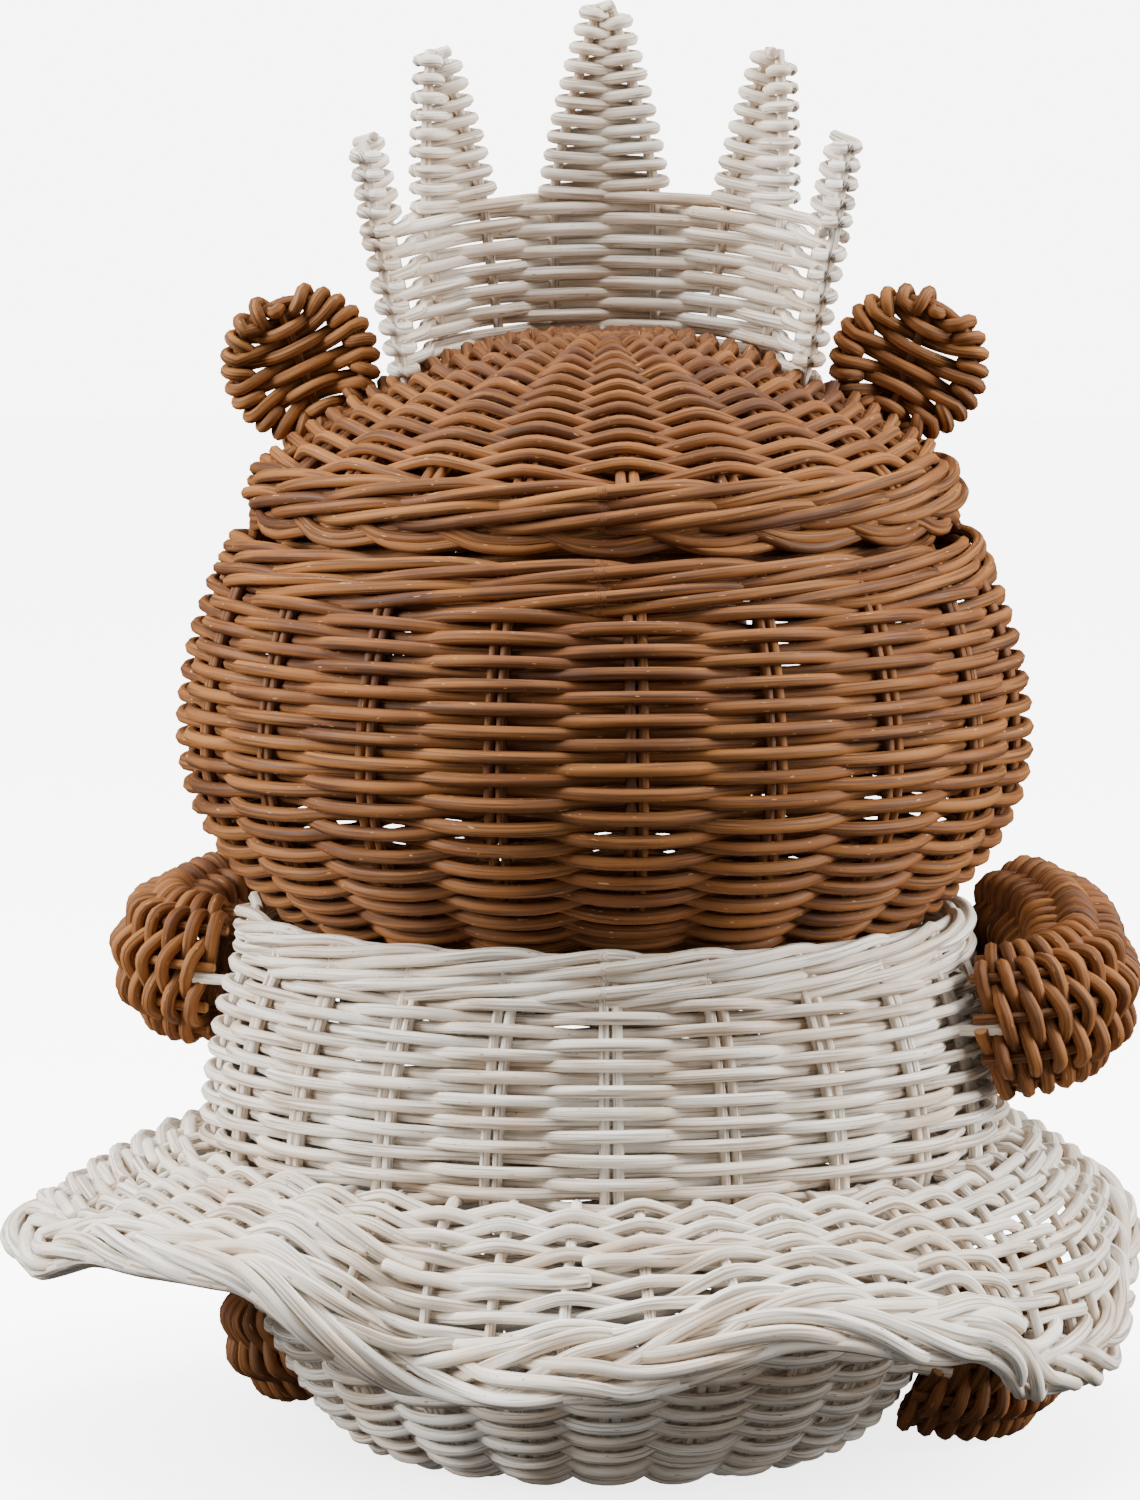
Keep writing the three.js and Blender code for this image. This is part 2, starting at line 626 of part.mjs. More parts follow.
function plate(outline, thickness, place) {
  const shape = new THREE.Shape(outline);
  const geometry = new THREE.ExtrudeGeometry(shape, { depth: thickness, bevelEnabled: false });
  return Solid.of(geometry.translate(0, 0, -thickness / 2).applyMatrix4(place));
}

// Two side stakes that rise out of the band and meet in the tip, as one bent rod.
function spikeStake(spike, clearance) {
  const half = STAKE / 2 + clearance;
  const foot = spike.width / 2 - STAKE;
  const tip = spike.height + STAKE / 2 + clearance;
  const fork = spike.height - 2 * STAKE - 2 * clearance;
  const end = -(SPIKE_STAKE_DEPTH + clearance);
  const outline = [
    v2(foot + half, end), v2(foot + half, 0), v2(half, tip),
    v2(-half, tip), v2(-foot - half, 0), v2(-foot - half, end),
    v2(-foot + half, end), v2(-foot + half, 0), v2(0, fork),
    v2(foot - half, 0), v2(foot - half, end),
  ];
  return plate(outline, 2 * half, spikePlace(spike));
}

function spikeWeave(spike) {
  const half = spike.width / 2;
  const tip = SPIKE_TIP / 2;
  const lean = CROWN_FLARE / CROWN_HEIGHT;
  const base = GAP + (SPIKE_THICKNESS / 2) * lean;
  const outline = [v2(-half, base), v2(half, base), v2(tip, spike.height), v2(-tip, spike.height)];
  return plate(outline, SPIKE_THICKNESS, spikePlace(spike)).minus(spikeStake(spike, GAP));
}

// Pegs that hold the crown's two ends and its middle on the lid.
function crownPeg(azimuth, clearance) {
  const top = crownPoint(azimuth, 2 * PEG).applyMatrix4(crownPlace);
  const bottom = crownPoint(azimuth, -(CROWN_PEG_DEPTH - PEG) - clearance).applyMatrix4(crownPlace);
  const along = top.clone().sub(bottom).normalize();
  return rod(bottom, top.addScaledVector(along, clearance), PEG / 2 + clearance);
}

// Limbs

// A limb's centre line lies in three stretches: a stub out of the wall, a tight elbow forward and a long
// gentle bend inward.
class LimbPath {
  constructor(limb) {
    this.limb = limb;
    this.stretches = [
      { length: limb.stub, curvature: 0 },
      { length: limb.elbow * limb.turn, curvature: 1 / limb.elbow },
      { length: limb.reach, curvature: 1 / limb.bend },
    ];
    this.straight = limb.stub + limb.elbow * limb.turn + limb.reach;
    this.length = this.straight + limb.width / 2;
  }

  // The distance out from the body's middle plane and forward of its axis, after a distance along the limb.
  plan(distance) {
    const { start, forward } = this.limb;
    const place = { out: start, forward, heading: 0 };
    let left = distance;
    this.stretches.forEach(({ length, curvature }, i) => {
      const last = i === this.stretches.length - 1;
      const step = last ? left : THREE.MathUtils.clamp(left, 0, length);
      const chord = curvature ? (2 / curvature) * Math.sin((step * curvature) / 2) : step;
      const direction = place.heading + (step * curvature) / 2;
      place.out += chord * Math.cos(direction);
      place.forward += chord * Math.sin(direction);
      place.heading += step * curvature;
      left -= step;
    });
    return place;
  }

  point(distance) {
    const { side, rootHeight, rise, lift } = this.limb;
    const { out, forward } = this.plan(distance);
    const share = THREE.MathUtils.smoothstep(distance, 0, this.straight);
    const settling = (1 - THREE.MathUtils.clamp(distance / (3 * this.limb.stub), 0, 1)) ** 2;
    return new THREE.Vector3(
      side * out * Math.cos(BODY_YAW) - forward * Math.sin(BODY_YAW),
      -side * out * Math.sin(BODY_YAW) - forward * Math.cos(BODY_YAW),
      rootHeight + rise * share + lift * settling,
    );
  }

  frame(distance) {
    const tangent = this.point(distance + 1).sub(this.point(distance - 1)).normalize();
    const across = tangent.clone().cross(new THREE.Vector3(0, 0, 1)).normalize();
    return { origin: this.point(distance), tangent, across, up: across.clone().cross(tangent) };
  }
}

// A tube with an open mouth and a rounded far end: turned about a straight line, then flattened and bent.
function limbTube(limb) {
  const path = new LimbPath(limb);
  const inner = 1 - (2 * LIMB_WALL) / limb.height;
  const capped = (radius, distances, end) => {
    const cap = end - path.straight;
    const round = v2(radius * Math.cos(CAP_TURN), path.straight + cap * Math.sin(CAP_TURN));
    return [...distances.map((distance) => v2(radius, distance)), round, v2(0, end)];
  };
  const { stub, elbow, turn, reach } = limb;
  const bends = [1 / 3, 2 / 3, 1].map((share) => stub + share * elbow * turn);
  const distances = [0, stub, ...bends, path.straight - reach / 2, path.straight];
  const outside = capped(1, distances, path.length);
  const inside = capped(inner, distances, path.length - LIMB_WALL).reverse();
  const geometry = new THREE.LatheGeometry([...outside, ...inside, outside[0]], LIMB_SIDES);
  const position = geometry.getAttribute('position');
  for (let i = 0; i < position.count; i += 1) {
    const { origin, across, up } = path.frame(position.getY(i));
    origin.addScaledVector(across, (position.getX(i) * limb.width) / 2);
    origin.addScaledVector(up, (position.getZ(i) * limb.height) / 2);
    position.setXYZ(i, origin.x, origin.y, origin.z);
  }
  return Solid.of(geometry).minus(bodyLine.envelope(LIMB_STANDOFF, TORSO_HEIGHT + LIMB_STANDOFF));
}

// Where a peg of a limb stands: in the tube's wall, at an angle round its mouth from straight up.
function limbPeg(limb, angle, clearance) {
  const path = new LimbPath(limb);
  const { origin, tangent, across, up } = path.frame(limb.stub);
  const share = 1 - LIMB_WALL / limb.height;
  origin.addScaledVector(across, (Math.sin(angle) * share * limb.width) / 2);
  origin.addScaledVector(up, (Math.cos(angle) * share * limb.height) / 2);
  const wall = wallPoint(origin, tangent);
  const from = wall.clone().addScaledVector(tangent, -LIMB_PEG_DEPTH - clearance);
  const to = wall.clone().addScaledVector(tangent, LIMB_STANDOFF + LIMB_PEG_DEPTH + clearance);
  return rod(from, to, PEG / 2 + clearance);
}

// The point of the body's outer surface that a line meets, found by halving.
function wallPoint(origin, direction) {
  const outside = (distance) => {
    const point = origin.clone().addScaledVector(direction, distance);
    return Math.hypot(point.x, point.y) > bodyRadius(point.z);
  };
  let low = -2 * WALL;
  let high = 2 * WALL;
  for (let i = 0; i < 20; i += 1) {
    const middle = (low + high) / 2;
    if (outside(middle)) high = middle;
    else low = middle;
  }
  return origin.clone().addScaledVector(direction, high);
}

function bodyRadius(height) {
  const points = bodyLine.stations.map(({ point }) => point);
  const next = Math.max(points.findIndex((point) => point.y > height), 1);
  const share = (height - points[next - 1].y) / (points[next].y - points[next - 1].y);
  return THREE.MathUtils.lerp(points[next - 1].x, points[next].x, share);
}

const LIMBS = [
  { name: 'arm_left', limb: LEFT_ARM, pegs: [55, 125, 270] },
  { name: 'arm_right', limb: RIGHT_ARM, pegs: [-55, -125, 90] },
  { name: 'leg_left', limb: LEFT_LEG, pegs: [50, 270] },
  { name: 'leg_right', limb: RIGHT_LEG, pegs: [-50, 90] },
];

// Face

// A domed button with a shank behind it, along its own Y axis, with its back at the origin.
function button(radius, depth, clearance) {
  const shank = SHANK_RADIUS + clearance;
  const end = -(SHANK_LENGTH + clearance);
  const profile = [
    v2(0, end), v2(shank, end), v2(shank, 0), v2(radius, 0), v2(radius, depth * 0.35),
    v2(radius * 0.75, depth * 0.8), v2(0, depth),
  ];
  return new THREE.LatheGeometry([...profile, profile[0]], 16);
}

// A place on the head's wall, with Y pointing straight out of it.
function facePlace(azimuth, height, standoff) {
  const share = (height - HEAD_WIDEST) / (HEAD_HEIGHT - HEAD_WIDEST);
  const curve = share > 0 ? headUpperCurve : headLowerCurve;
  const t = curveShare(curve, HEAD_BOTTOM + height);
  const point = curve.getPoint(t);
  const along = curve.getTangent(t);
  const round = new THREE.Vector3(Math.sin(azimuth), -Math.cos(azimuth), 0);
  const outward = round.clone().multiplyScalar(along.y).add(new THREE.Vector3(0, 0, -along.x));
  const turn = new THREE.Quaternion().setFromUnitVectors(new THREE.Vector3(0, 1, 0), outward);
  const origin = round.multiplyScalar(point.x).add(new THREE.Vector3(0, 0, point.y));
  return { position: origin.addScaledVector(outward, standoff), quaternion: turn };
}

function curveShare(curve, height) {
  let low = 0;
  let high = 1;
  for (let i = 0; i < 20; i += 1) {
    const middle = (low + high) / 2;
    if (curve.getPoint(middle).y < height) low = middle;
    else high = middle;
  }
  return low;
}

function placed(geometry, { position, quaternion }) {
  const matrix = new THREE.Matrix4().compose(position, quaternion, new THREE.Vector3(1, 1, 1));
  return Solid.of(geometry.applyMatrix4(matrix));
}

function muzzle(noseCut) {
  const dome = (radius, depth) => [
    v2(radius, -MUZZLE_RADIUS / 2), v2(radius, depth * 0.3), v2(radius * 0.88, depth * 0.68),
    v2(radius * 0.6, depth * 0.93), v2(0, depth),
  ];
  const outside = dome(MUZZLE_RADIUS, MUZZLE_DEPTH);
  const inside = dome(MUZZLE_RADIUS - MUZZLE_WALL, MUZZLE_DEPTH - MUZZLE_WALL).reverse();
  const shell = new THREE.LatheGeometry([...outside, ...inside, outside[0]], 20);
  return placed(shell, facePlace(0, MUZZLE_HEIGHT, 0)).minus(headLine.envelope(GAP), noseCut);
}

// Assembly

function buildBody() {
  const body = new THREE.Group();
  const pegs = LIMBS.flatMap(({ name, limb, pegs: angles }) => angles.map((angle, i) => ({
    name: `${name}_peg_${i + 1}`,
    solid: limbPeg(limb, degrees(angle), 0),
    hole: limbPeg(limb, degrees(angle), GAP),
  })));
  const holes = pegs.map(({ hole }) => hole);
  const slots = bodyStakes(GAP);
  const cuts = [waistGroove(), ...slots, ...holes];
  body.add(bodyLine.band(0, BODY_AT.disc, 0).mesh('base_disc', WHITE));
  body.add(bodyLine.band(BODY_AT.disc, BODY_AT.foot).minus(...holes).mesh('base_border', WHITE));
  body.add(bodyLine.band(BODY_AT.foot, BODY_AT.waist).minus(...cuts).mesh('bowl_weave', WHITE));
  body.add(bodyLine.band(BODY_AT.waist, BODY_AT.rim).minus(...cuts).mesh('torso_weave', WHITE));
  const rim = torsoRim().plus(...bodyStakes(0)).minus(headLine.envelope(GAP), ...holes);
  body.add(rim.mesh('body_stakes_and_rim', WHITE));
  body.add(skirtPanel().mesh('skirt_panel', WHITE));
  body.add(skirtBorder().mesh('skirt_border', WHITE));
  LIMBS.forEach(({ name, limb }) => body.add(limbTube(limb).minus(...holes).mesh(name, BROWN)));
  pegs.forEach(({ name, solid }) => body.add(solid.mesh(name, WHITE)));
  return body;
}

function buildHead() {
  const head = new THREE.Group();
  const eyes = [
    { name: 'eye_left', place: facePlace(EYE_AZIMUTH, EYE_HEIGHT, GAP) },
    { name: 'eye_right', place: facePlace(-EYE_AZIMUTH, EYE_HEIGHT, GAP) },
  ];
  const holes = eyes.map(({ place }) => placed(button(EYE_RADIUS, EYE_DEPTH, GAP), place));
  const nosePlace = facePlace(0, MUZZLE_HEIGHT, MUZZLE_DEPTH + GAP);
  const weave = headLine.band(HEAD_AT.disc, HEAD_AT.rim).minus(...headStakes(GAP), ...holes);
  head.add(headLine.band(0, HEAD_AT.disc, 0).mesh('head_base_disc', BROWN));
  head.add(weave.mesh('head_weave', BROWN));
  head.add(headRim().plus(...headStakes(0)).minus(...holes).mesh('head_stakes_and_rim', BROWN));
  head.add(muzzle(placed(button(NOSE_RADIUS, NOSE_DEPTH, GAP), nosePlace)).mesh('muzzle', BROWN));
  head.add(placed(button(NOSE_RADIUS, NOSE_DEPTH, 0), nosePlace).mesh('nose', DARK));
  eyes.forEach(({ name, place }) => {
    head.add(placed(button(EYE_RADIUS, EYE_DEPTH, 0), place).mesh(name, DARK));
  });
  return head;
}

function buildLid() {
  const lid = new THREE.Group();
  const pegs = [
    { name: 'crown_peg_left', azimuth: CROWN_PEG_AZIMUTH },
    { name: 'crown_peg_middle', azimuth: 0 },
    { name: 'crown_peg_right', azimuth: -CROWN_PEG_AZIMUTH },
  ];
  const pegHoles = pegs.map(({ azimuth }) => crownPeg(azimuth, GAP));
  const holes = [...pegHoles, earHoop(1, GAP), earHoop(-1, GAP)];
  const { dome, centre, apex } = LID_AT;
  lid.add(lidLine.band(0, dome, 0).minus(...holes).mesh('lid_border', BROWN));
  lid.add(lidRows().minus(...holes).mesh('lid_weave', BROWN));
  lid.add(lidLine.band(centre, apex).minus(...holes).mesh('lid_centre_weave', BROWN));
  const ringOuter = MOUTH_RADIUS - LID_FIT;
  const ringInner = ringOuter - LOCATING_RING_WIDTH;
  const edge = ropeRing(ringInner, LID_RADIUS + 2 * RIM_STANDOUT, LID_BOTTOM, LID_BOTTOM + LID_EDGE_HEIGHT);
  lid.add(edge.mesh('lid_edge', BROWN));
  const ring = ropeRing(ringInner, ringOuter, LID_BOTTOM - GAP - LOCATING_RING_HEIGHT, LID_BOTTOM - GAP);
  lid.add(ring.mesh('lid_locating_ring', BROWN));
  lid.add(earHoop(1, 0).mesh('ear_left_hoop', BROWN));
  lid.add(earHoop(-1, 0).mesh('ear_right_hoop', BROWN));
  lid.add(earWeave(1).mesh('ear_left_weave', BROWN));
  lid.add(earWeave(-1).mesh('ear_right_weave', BROWN));
  const stakeSlots = SPIKES.map((spike) => spikeStake(spike, GAP));
  lid.add(crownBand([...stakeSlots, ...pegHoles]).mesh('crown_band', WHITE));
  SPIKES.forEach((spike) => {
    lid.add(spikeWeave(spike).mesh(`crown_spike_${spike.name}`, WHITE));
    lid.add(spikeStake(spike, 0).mesh(`crown_stake_${spike.name}`, WHITE));
  });
  pegs.forEach(({ name, azimuth }) => lid.add(crownPeg(azimuth, 0).mesh(name, WHITE)));
  return lid;
}

const basket = new THREE.Group();
basket.name = 'rattan_storage_basket';
basket.add(buildBody(), buildHead(), buildLid());

export default basket;
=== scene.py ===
"""The looks of a rattan storage basket in the shape of a seated bear, woven strand by strand.

Every wall is a surface of two parameters: an angle round the basket and a distance along the wall. Weavers,
stakes and twisted borders are lines on such a surface, and each line is swept into a round cane. Shapes are
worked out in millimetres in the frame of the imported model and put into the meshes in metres.
"""

import json
import logging
import math
from collections.abc import Callable
from dataclasses import dataclass, field
from enum import Enum

import bpy
import numpy as np
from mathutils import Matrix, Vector

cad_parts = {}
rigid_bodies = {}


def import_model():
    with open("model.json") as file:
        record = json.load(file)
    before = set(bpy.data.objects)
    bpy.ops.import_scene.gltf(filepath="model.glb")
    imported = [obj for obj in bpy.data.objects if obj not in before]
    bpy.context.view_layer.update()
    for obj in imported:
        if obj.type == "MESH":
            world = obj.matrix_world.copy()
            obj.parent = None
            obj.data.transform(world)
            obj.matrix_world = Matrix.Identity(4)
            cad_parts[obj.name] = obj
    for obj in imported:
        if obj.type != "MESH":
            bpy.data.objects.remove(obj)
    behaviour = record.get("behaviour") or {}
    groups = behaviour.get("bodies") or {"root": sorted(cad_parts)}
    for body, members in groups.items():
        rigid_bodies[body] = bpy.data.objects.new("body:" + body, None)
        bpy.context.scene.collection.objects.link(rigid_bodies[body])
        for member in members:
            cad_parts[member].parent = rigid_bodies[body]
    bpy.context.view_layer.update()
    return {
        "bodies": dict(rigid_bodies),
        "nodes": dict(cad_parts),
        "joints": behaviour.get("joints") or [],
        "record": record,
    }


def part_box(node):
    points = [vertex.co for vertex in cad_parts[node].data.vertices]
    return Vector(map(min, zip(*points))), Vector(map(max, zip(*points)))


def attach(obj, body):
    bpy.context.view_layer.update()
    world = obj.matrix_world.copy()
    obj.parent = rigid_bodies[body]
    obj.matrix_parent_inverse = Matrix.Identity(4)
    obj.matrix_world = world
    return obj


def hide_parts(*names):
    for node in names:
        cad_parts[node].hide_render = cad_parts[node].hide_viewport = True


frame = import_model()

log = logging.getLogger("basket")

MM = 0.001
TURN = 2 * math.pi

# Cane, in mm
WEAVER = 5.0
STAKE = 4.4
PAIR_GAP = 0.5
WALL = 14.4
SWING = 4.6  # how far a weaver's middle stands off a pair of stakes
ROW = 4.45  # from one row of the weave to the next
CANE_LENGTH = 900.0  # of one weaver before the next is laid in
CHAMFER = 0.6  # on a cut end
UNEVENNESS = 0.055  # share of its radius that a cane swells and thins by
UNEVEN_SAMPLES = 30  # samples from one swelling to the next

# A cane's tone is a share from its shade at 0 to its light at 1
TONE_APART = 0.4  # from one cane to the next
TONE_DRIFT = 0.25  # along a cane
TONE_SAMPLES = 60  # samples from one change of tone to the next

# How far apart in the grain two canes can lie, in mm: along it and across it
GRAIN_ALONG, GRAIN_ACROSS = 1000, 50

AXIS_GAP = 8.0  # from the axis to where a bottom's wall starts

# Samples of a curve in an outline, of a limb's middle line, and of its mouth, round it and along it
CURVE_SAMPLES = 40
LINE_SAMPLES = 500
MOUTH_ANGLES, MOUTH_TRIES = 73, 240

Array, Tree, Socket = np.ndarray, bpy.types.NodeTree, bpy.types.NodeSocket


class Body(Enum):
    """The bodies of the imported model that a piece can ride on."""

    BASKET = "body"
    HEAD = "head"
    LID = "lid"


def unit(vectors: Array) -> Array:
    """Vectors scaled to length one along their last axis."""
    length = np.linalg.norm(vectors, axis=-1, keepdims=True)
    return vectors / np.maximum(length, 1e-12)


def span(node: str) -> tuple[Array, Array]:
    """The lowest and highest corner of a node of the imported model, in mm."""
    low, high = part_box(node)
    return np.array(low) / MM, np.array(high) / MM


def bezier(start: tuple, control: tuple, end: tuple) -> Array:
    """Points of a quadratic curve, in rows: (1-t)^2 start + 2t(1-t) control + t^2 end."""
    t = np.linspace(0, 1, CURVE_SAMPLES)[:, None]
    return (1 - t) ** 2 * np.array(start) + 2 * t * (1 - t) * np.array(control) + t**2 * np.array(end)


def between(at: Array, places: Array, rows: Array) -> Array:
    """The rows of a table, each at its place, drawn on in straight lines to the places asked for."""
    return np.stack([np.interp(at, places, column) for column in rows.T], -1)


def drift(rng: np.random.Generator, count: int, knots: int) -> Array:
    """A smooth random line: cosine steps between random values from -1 to 1.

    Args:
        rng: the seeded source of chance.
        count: how many samples to give.
        knots: how many random values the line runs through.

    Returns:
        The samples.
    """
    values = rng.uniform(-1, 1, knots + 2)
    place = np.linspace(0, knots, count)
    whole = np.floor(place).astype(int)
    share = (1 - np.cos(math.pi * (place - whole))) / 2
    return values[whole] * (1 - share) + values[whole + 1] * share


def linear(code: str) -> tuple[float, float, float, float]:
    """An sRGB hex colour as the linear colour that a shader takes.

    Args:
        code: the colour as # and six hex digits.

    Returns:
        Red, green, blue and alpha.
    """
    parts = np.array([int(code[i : i + 2], 16) for i in (1, 3, 5)]) / 255
    light = np.where(parts <= 0.04045, parts / 12.92, ((parts + 0.055) / 1.055) ** 2.4)
    return (*(float(part) for part in light), 1.0)


def add_node(tree: Tree, kind: str, links: dict | None = None, **settings) -> bpy.types.Node:
    """Adds a shader node, sets its values and links its inputs.

    Args:
        tree: the node tree.
        kind: the node's type name, without its ShaderNode prefix.
        links: an output socket for each input that is linked, by the input's name or index.
        settings: attributes of the node, or values of its inputs by name with _ for a blank.

    Returns:
        The node.
    """
    made = tree.nodes.new("ShaderNode" + kind)
    for name, value in settings.items():
        if hasattr(made, name):
            setattr(made, name, value)
        else:
            made.inputs[name.replace("_", " ")].default_value = value
    for name, output in (links or {}).items():
        tree.links.new(output, made.inputs[name])
    return made


def mixed(tree: Tree, share: Socket, first, second) -> Socket:
    """A colour between two others.

    Args:
        tree: the node tree.
        share: the socket that says how much of the second colour shows.
        first: a hex code or a colour socket.
        second: a hex code or a colour socket.

    Returns:
        The socket of the mixed colour.
    """
    made = add_node(tree, "Mix", {0: share}, data_type="RGBA")
    for index, colour in ((6, first), (7, second)):
        if isinstance(colour, str):
            made.inputs[index].default_value = linear(colour)
        else:
            tree.links.new(colour, made.inputs[index])
    return made.outputs[2]


def spread(tree: Tree, value: Socket, low: float, high: float,
           least: float = 0.0, most: float = 1.0) -> Socket:
    """A value's range from low to high stretched to the range from least to most, and held there.

    Args:
        tree: the node tree.
        value: the socket of the value.
        low: where its range starts.
        high: where it ends.
        least: what the start becomes.
        most: what the end becomes.

    Returns:
        The socket of the stretched value.
    """
    made = add_node(tree, "MapRange", {0: value})
    for index, number in enumerate((low, high, least, most), start=1):
        made.inputs[index].default_value = number
    return made.outputs[0]


def blank_material(name: str) -> tuple[bpy.types.Material, Tree]:
    """A new material and its node tree with nothing in it.

    Args:
        name: the material's name.

    Returns:
        The material and its tree.
    """
    made = bpy.data.materials.new(name)
    made.use_nodes = True
    made.node_tree.nodes.clear()
    return made, made.node_tree


def surfaced(tree: Tree, links: dict, **settings) -> None:
    """Adds the shader with its links and settings, and the output that it goes to."""
    shader = add_node(tree, "BsdfPrincipled", links, **settings)
    add_node(tree, "OutputMaterial", {"Surface": shader.outputs["BSDF"]})


def drawn_out(tree: Tree, grain: Socket, length: float, width: float, detail: float) -> Socket:
    """Noise drawn out along a cane.

    Args:
        tree: the node tree.
        grain: the socket of the cane's own coordinates, in mm.
        length: how long a streak is, in mm.
        width: how wide it is, in mm.
        detail: octaves of the noise.

    Returns:
        The noise's value.
    """
    stretched = add_node(tree, "VectorMath", {0: grain}, operation="MULTIPLY")
    stretched.inputs[1].default_value = (1 / length, 1 / width, 1 / width)
    noise = add_node(tree, "TexNoise", {"Vector": stretched.outputs[0]}, Scale=1.0, Detail=detail)
    return noise.outputs["Fac"]


@dataclass(frozen=True)
class CaneFinish:
    """Round rattan core: split fibres run along it, so colour, gloss and relief all streak lengthwise.

    The grain is read from the cane's own straight coordinates: millimetres along it, and across its section.
    """

    name: str
    base: str
    shade: str
    light: str
    streak: str
    line: str
    chip: str
    roughness: tuple[float, float]
    streak_share: float
    line_share: float
    patch_share: float
    bump: float
    # Length and width of each kind of streak in mm, and octaves of its noise
    fibre: tuple = (80.0, 1.5, 3)
    crack: tuple = (50.0, 1.05, 2)
    band: tuple = (28.0, 2.2, 2)
    fleck: tuple = (5.0, 1.0, 1)
    patch_size: float = 34.0  # mm
    ridge_height: float = 0.6  # mm

    def material(self) -> bpy.types.Material:
        """Makes the finish's material.

        Returns:
            The material.
        """
        made, tree = blank_material(self.name)
        grain = add_node(tree, "Attribute", attribute_name="grain").outputs["Vector"]
        tone, cut = (
            add_node(tree, "Attribute", attribute_name=name).outputs["Fac"] for name in ("tone", "cut"))
        place = add_node(tree, "TexCoord").outputs["Object"]
        fibre = drawn_out(tree, grain, *self.fibre)
        crack = drawn_out(tree, grain, *self.crack)
        band = drawn_out(tree, grain, *self.band)
        patches = add_node(tree, "TexNoise", {"Vector": place}, Scale=1 / (self.patch_size * MM), Detail=3.0)
        patch = patches.outputs["Fac"]
        fleck = drawn_out(tree, grain, *self.fleck)
        # Each layer's value, the range over which it fades in, its share at most, and its colour
        layers = (
            (tone, 0.0, 0.6, 1.0, self.base),
            (tone, 0.6, 1.0, 0.8, self.light),
            (patch, 0.42, 0.68, self.patch_share, self.light),
            (band, 0.5, 0.7, 0.6, self.light),
            (fibre, 0.5, 0.64, self.streak_share, self.streak),
            (crack, 0.54, 0.62, self.line_share, self.line),
            (fleck, 0.735, 0.76, 0.75, self.chip),
            (cut, 0.5, 0.9, 0.55, self.chip),
        )
        colour = self.shade
        for value, low, high, most, layer in layers:
            colour = mixed(tree, spread(tree, value, low, high, 0.0, most), colour, layer)
        rough = spread(tree, band, 0.3, 0.7, *self.roughness)
        ridges = add_node(tree, "Bump", {"Height": fibre}, Strength=self.bump,
                          Distance=self.ridge_height * MM)
        links = {"Base Color": colour, "Roughness": rough, "Normal": ridges.outputs["Normal"]}
        surfaced(tree, links, IOR=1.42)
        return made


# Stained cane is darker along its fibres, and wears to raw cane in small chips.
STAINED = CaneFinish(
    name="brown_stained_rattan_cane",
    base="#7b4719",
    shade="#552d0f",
    light="#9c6530",
    streak="#4c2b10",
    line="#331a08",
    chip="#c99a68",
    roughness=(0.6, 0.82),
    streak_share=0.65,
    line_share=0.65,
    patch_share=0.5,
    bump=0.7,
)
# Thin white paint wiped over cane, which lets beige fibres show in lengthwise streaks.
WASHED = CaneFinish(
    name="white_washed_rattan_cane",
    base="#ebddca",
    shade="#d2bda6",
    light="#faf6ed",
    streak="#b39a82",
    line="#6b5644",
    chip="#86684f",
    roughness=(0.62, 0.8),
    streak_share=0.5,
    line_share=0.6,
    patch_share=0.72,
    bump=0.9,
)


@dataclass(frozen=True)
class TurnedWood:
    """Dark stained beech, turned and lacquered: rings round the axis show faintly through a soft gloss."""

    name: str = "dark_stained_beech"
    base: str = "#2f1c12"
    ring: str = "#4a2f1e"
    ring_width: float = 2.0  # mm

    def material(self) -> bpy.types.Material:
        """Makes the finish's material.

        Returns:
            The material.
        """
        made, tree = blank_material(self.name)
        place = add_node(tree, "TexCoord").outputs["Object"]
        rings = add_node(
            tree, "TexWave", {"Vector": place}, wave_type="BANDS", bands_direction="Z",
            Scale=1 / (TURN * self.ring_width * MM), Distortion=6.0, Detail=3.0,
        )
        colour = mixed(tree, spread(tree, rings.outputs["Fac"], 0.3, 0.9, 0.0, 0.7), self.base, self.ring)
        ridges = add_node(tree, "Bump", {"Height": rings.outputs["Fac"]}, Strength=0.1, Distance=0.2 * MM)
        links = {"Base Color": colour, "Normal": ridges.outputs["Normal"]}
        surfaced(tree, links, Roughness=0.38, IOR=1.5)
        return made


@dataclass(frozen=True)
class StudioPaper:
    """Matt seamless paper for the floor and the backdrop, lit from behind as on a light table, its glow
    dimmed near the basket's foot as a painted contact shadow.
    """

    name: str
    glow: float
    painted_shadow_share: float  # the share of the glow that is left near the basket's foot, a painted contact shadow
    base: str = "#f4f4f3"
    shade: tuple = (0.08, 0.38)  # from the axis to where its painted contact shadow starts to fade and where it ends, in metres

    def material(self) -> bpy.types.Material:
        """Makes the finish's material.

        Returns:
            The material.
        """
        made, tree = blank_material(self.name)
        place = add_node(tree, "TexCoord").outputs["Object"]
        fibres = add_node(tree, "TexNoise", {"Vector": place}, Scale=1 / (3 * MM)).outputs["Fac"]
        relief = add_node(tree, "Bump", {"Height": fibres}, Strength=0.05, Distance=0.1 * MM)
        away = add_node(tree, "VectorMath", {0: place}, operation="LENGTH").outputs["Value"]
        # Painted contact shadow: the glow is dimmed near the axis, round the basket's foot.
        glow = spread(tree, away, *self.shade, self.painted_shadow_share * self.glow, self.glow)
        links = {"Normal": relief.outputs["Normal"], "Emission Strength": glow}
        surfaced(tree, links, Base_Color=linear(self.base), Roughness=0.95, Emission_Color=linear(self.base))
        return made


class Slot(Enum):
    """The record's material slots, each with the finish that the scene gives it."""

    WHITE = "rattan_white"
    BROWN = "rattan_brown"
    DARK = "dark_wood"

    def material(self) -> bpy.types.Material:
        """The slot's material, made once."""
        finish = {Slot.WHITE: WASHED, Slot.BROWN: STAINED, Slot.DARK: TurnedWood()}[self]
        return bpy.data.materials.get(finish.name) or finish.material()


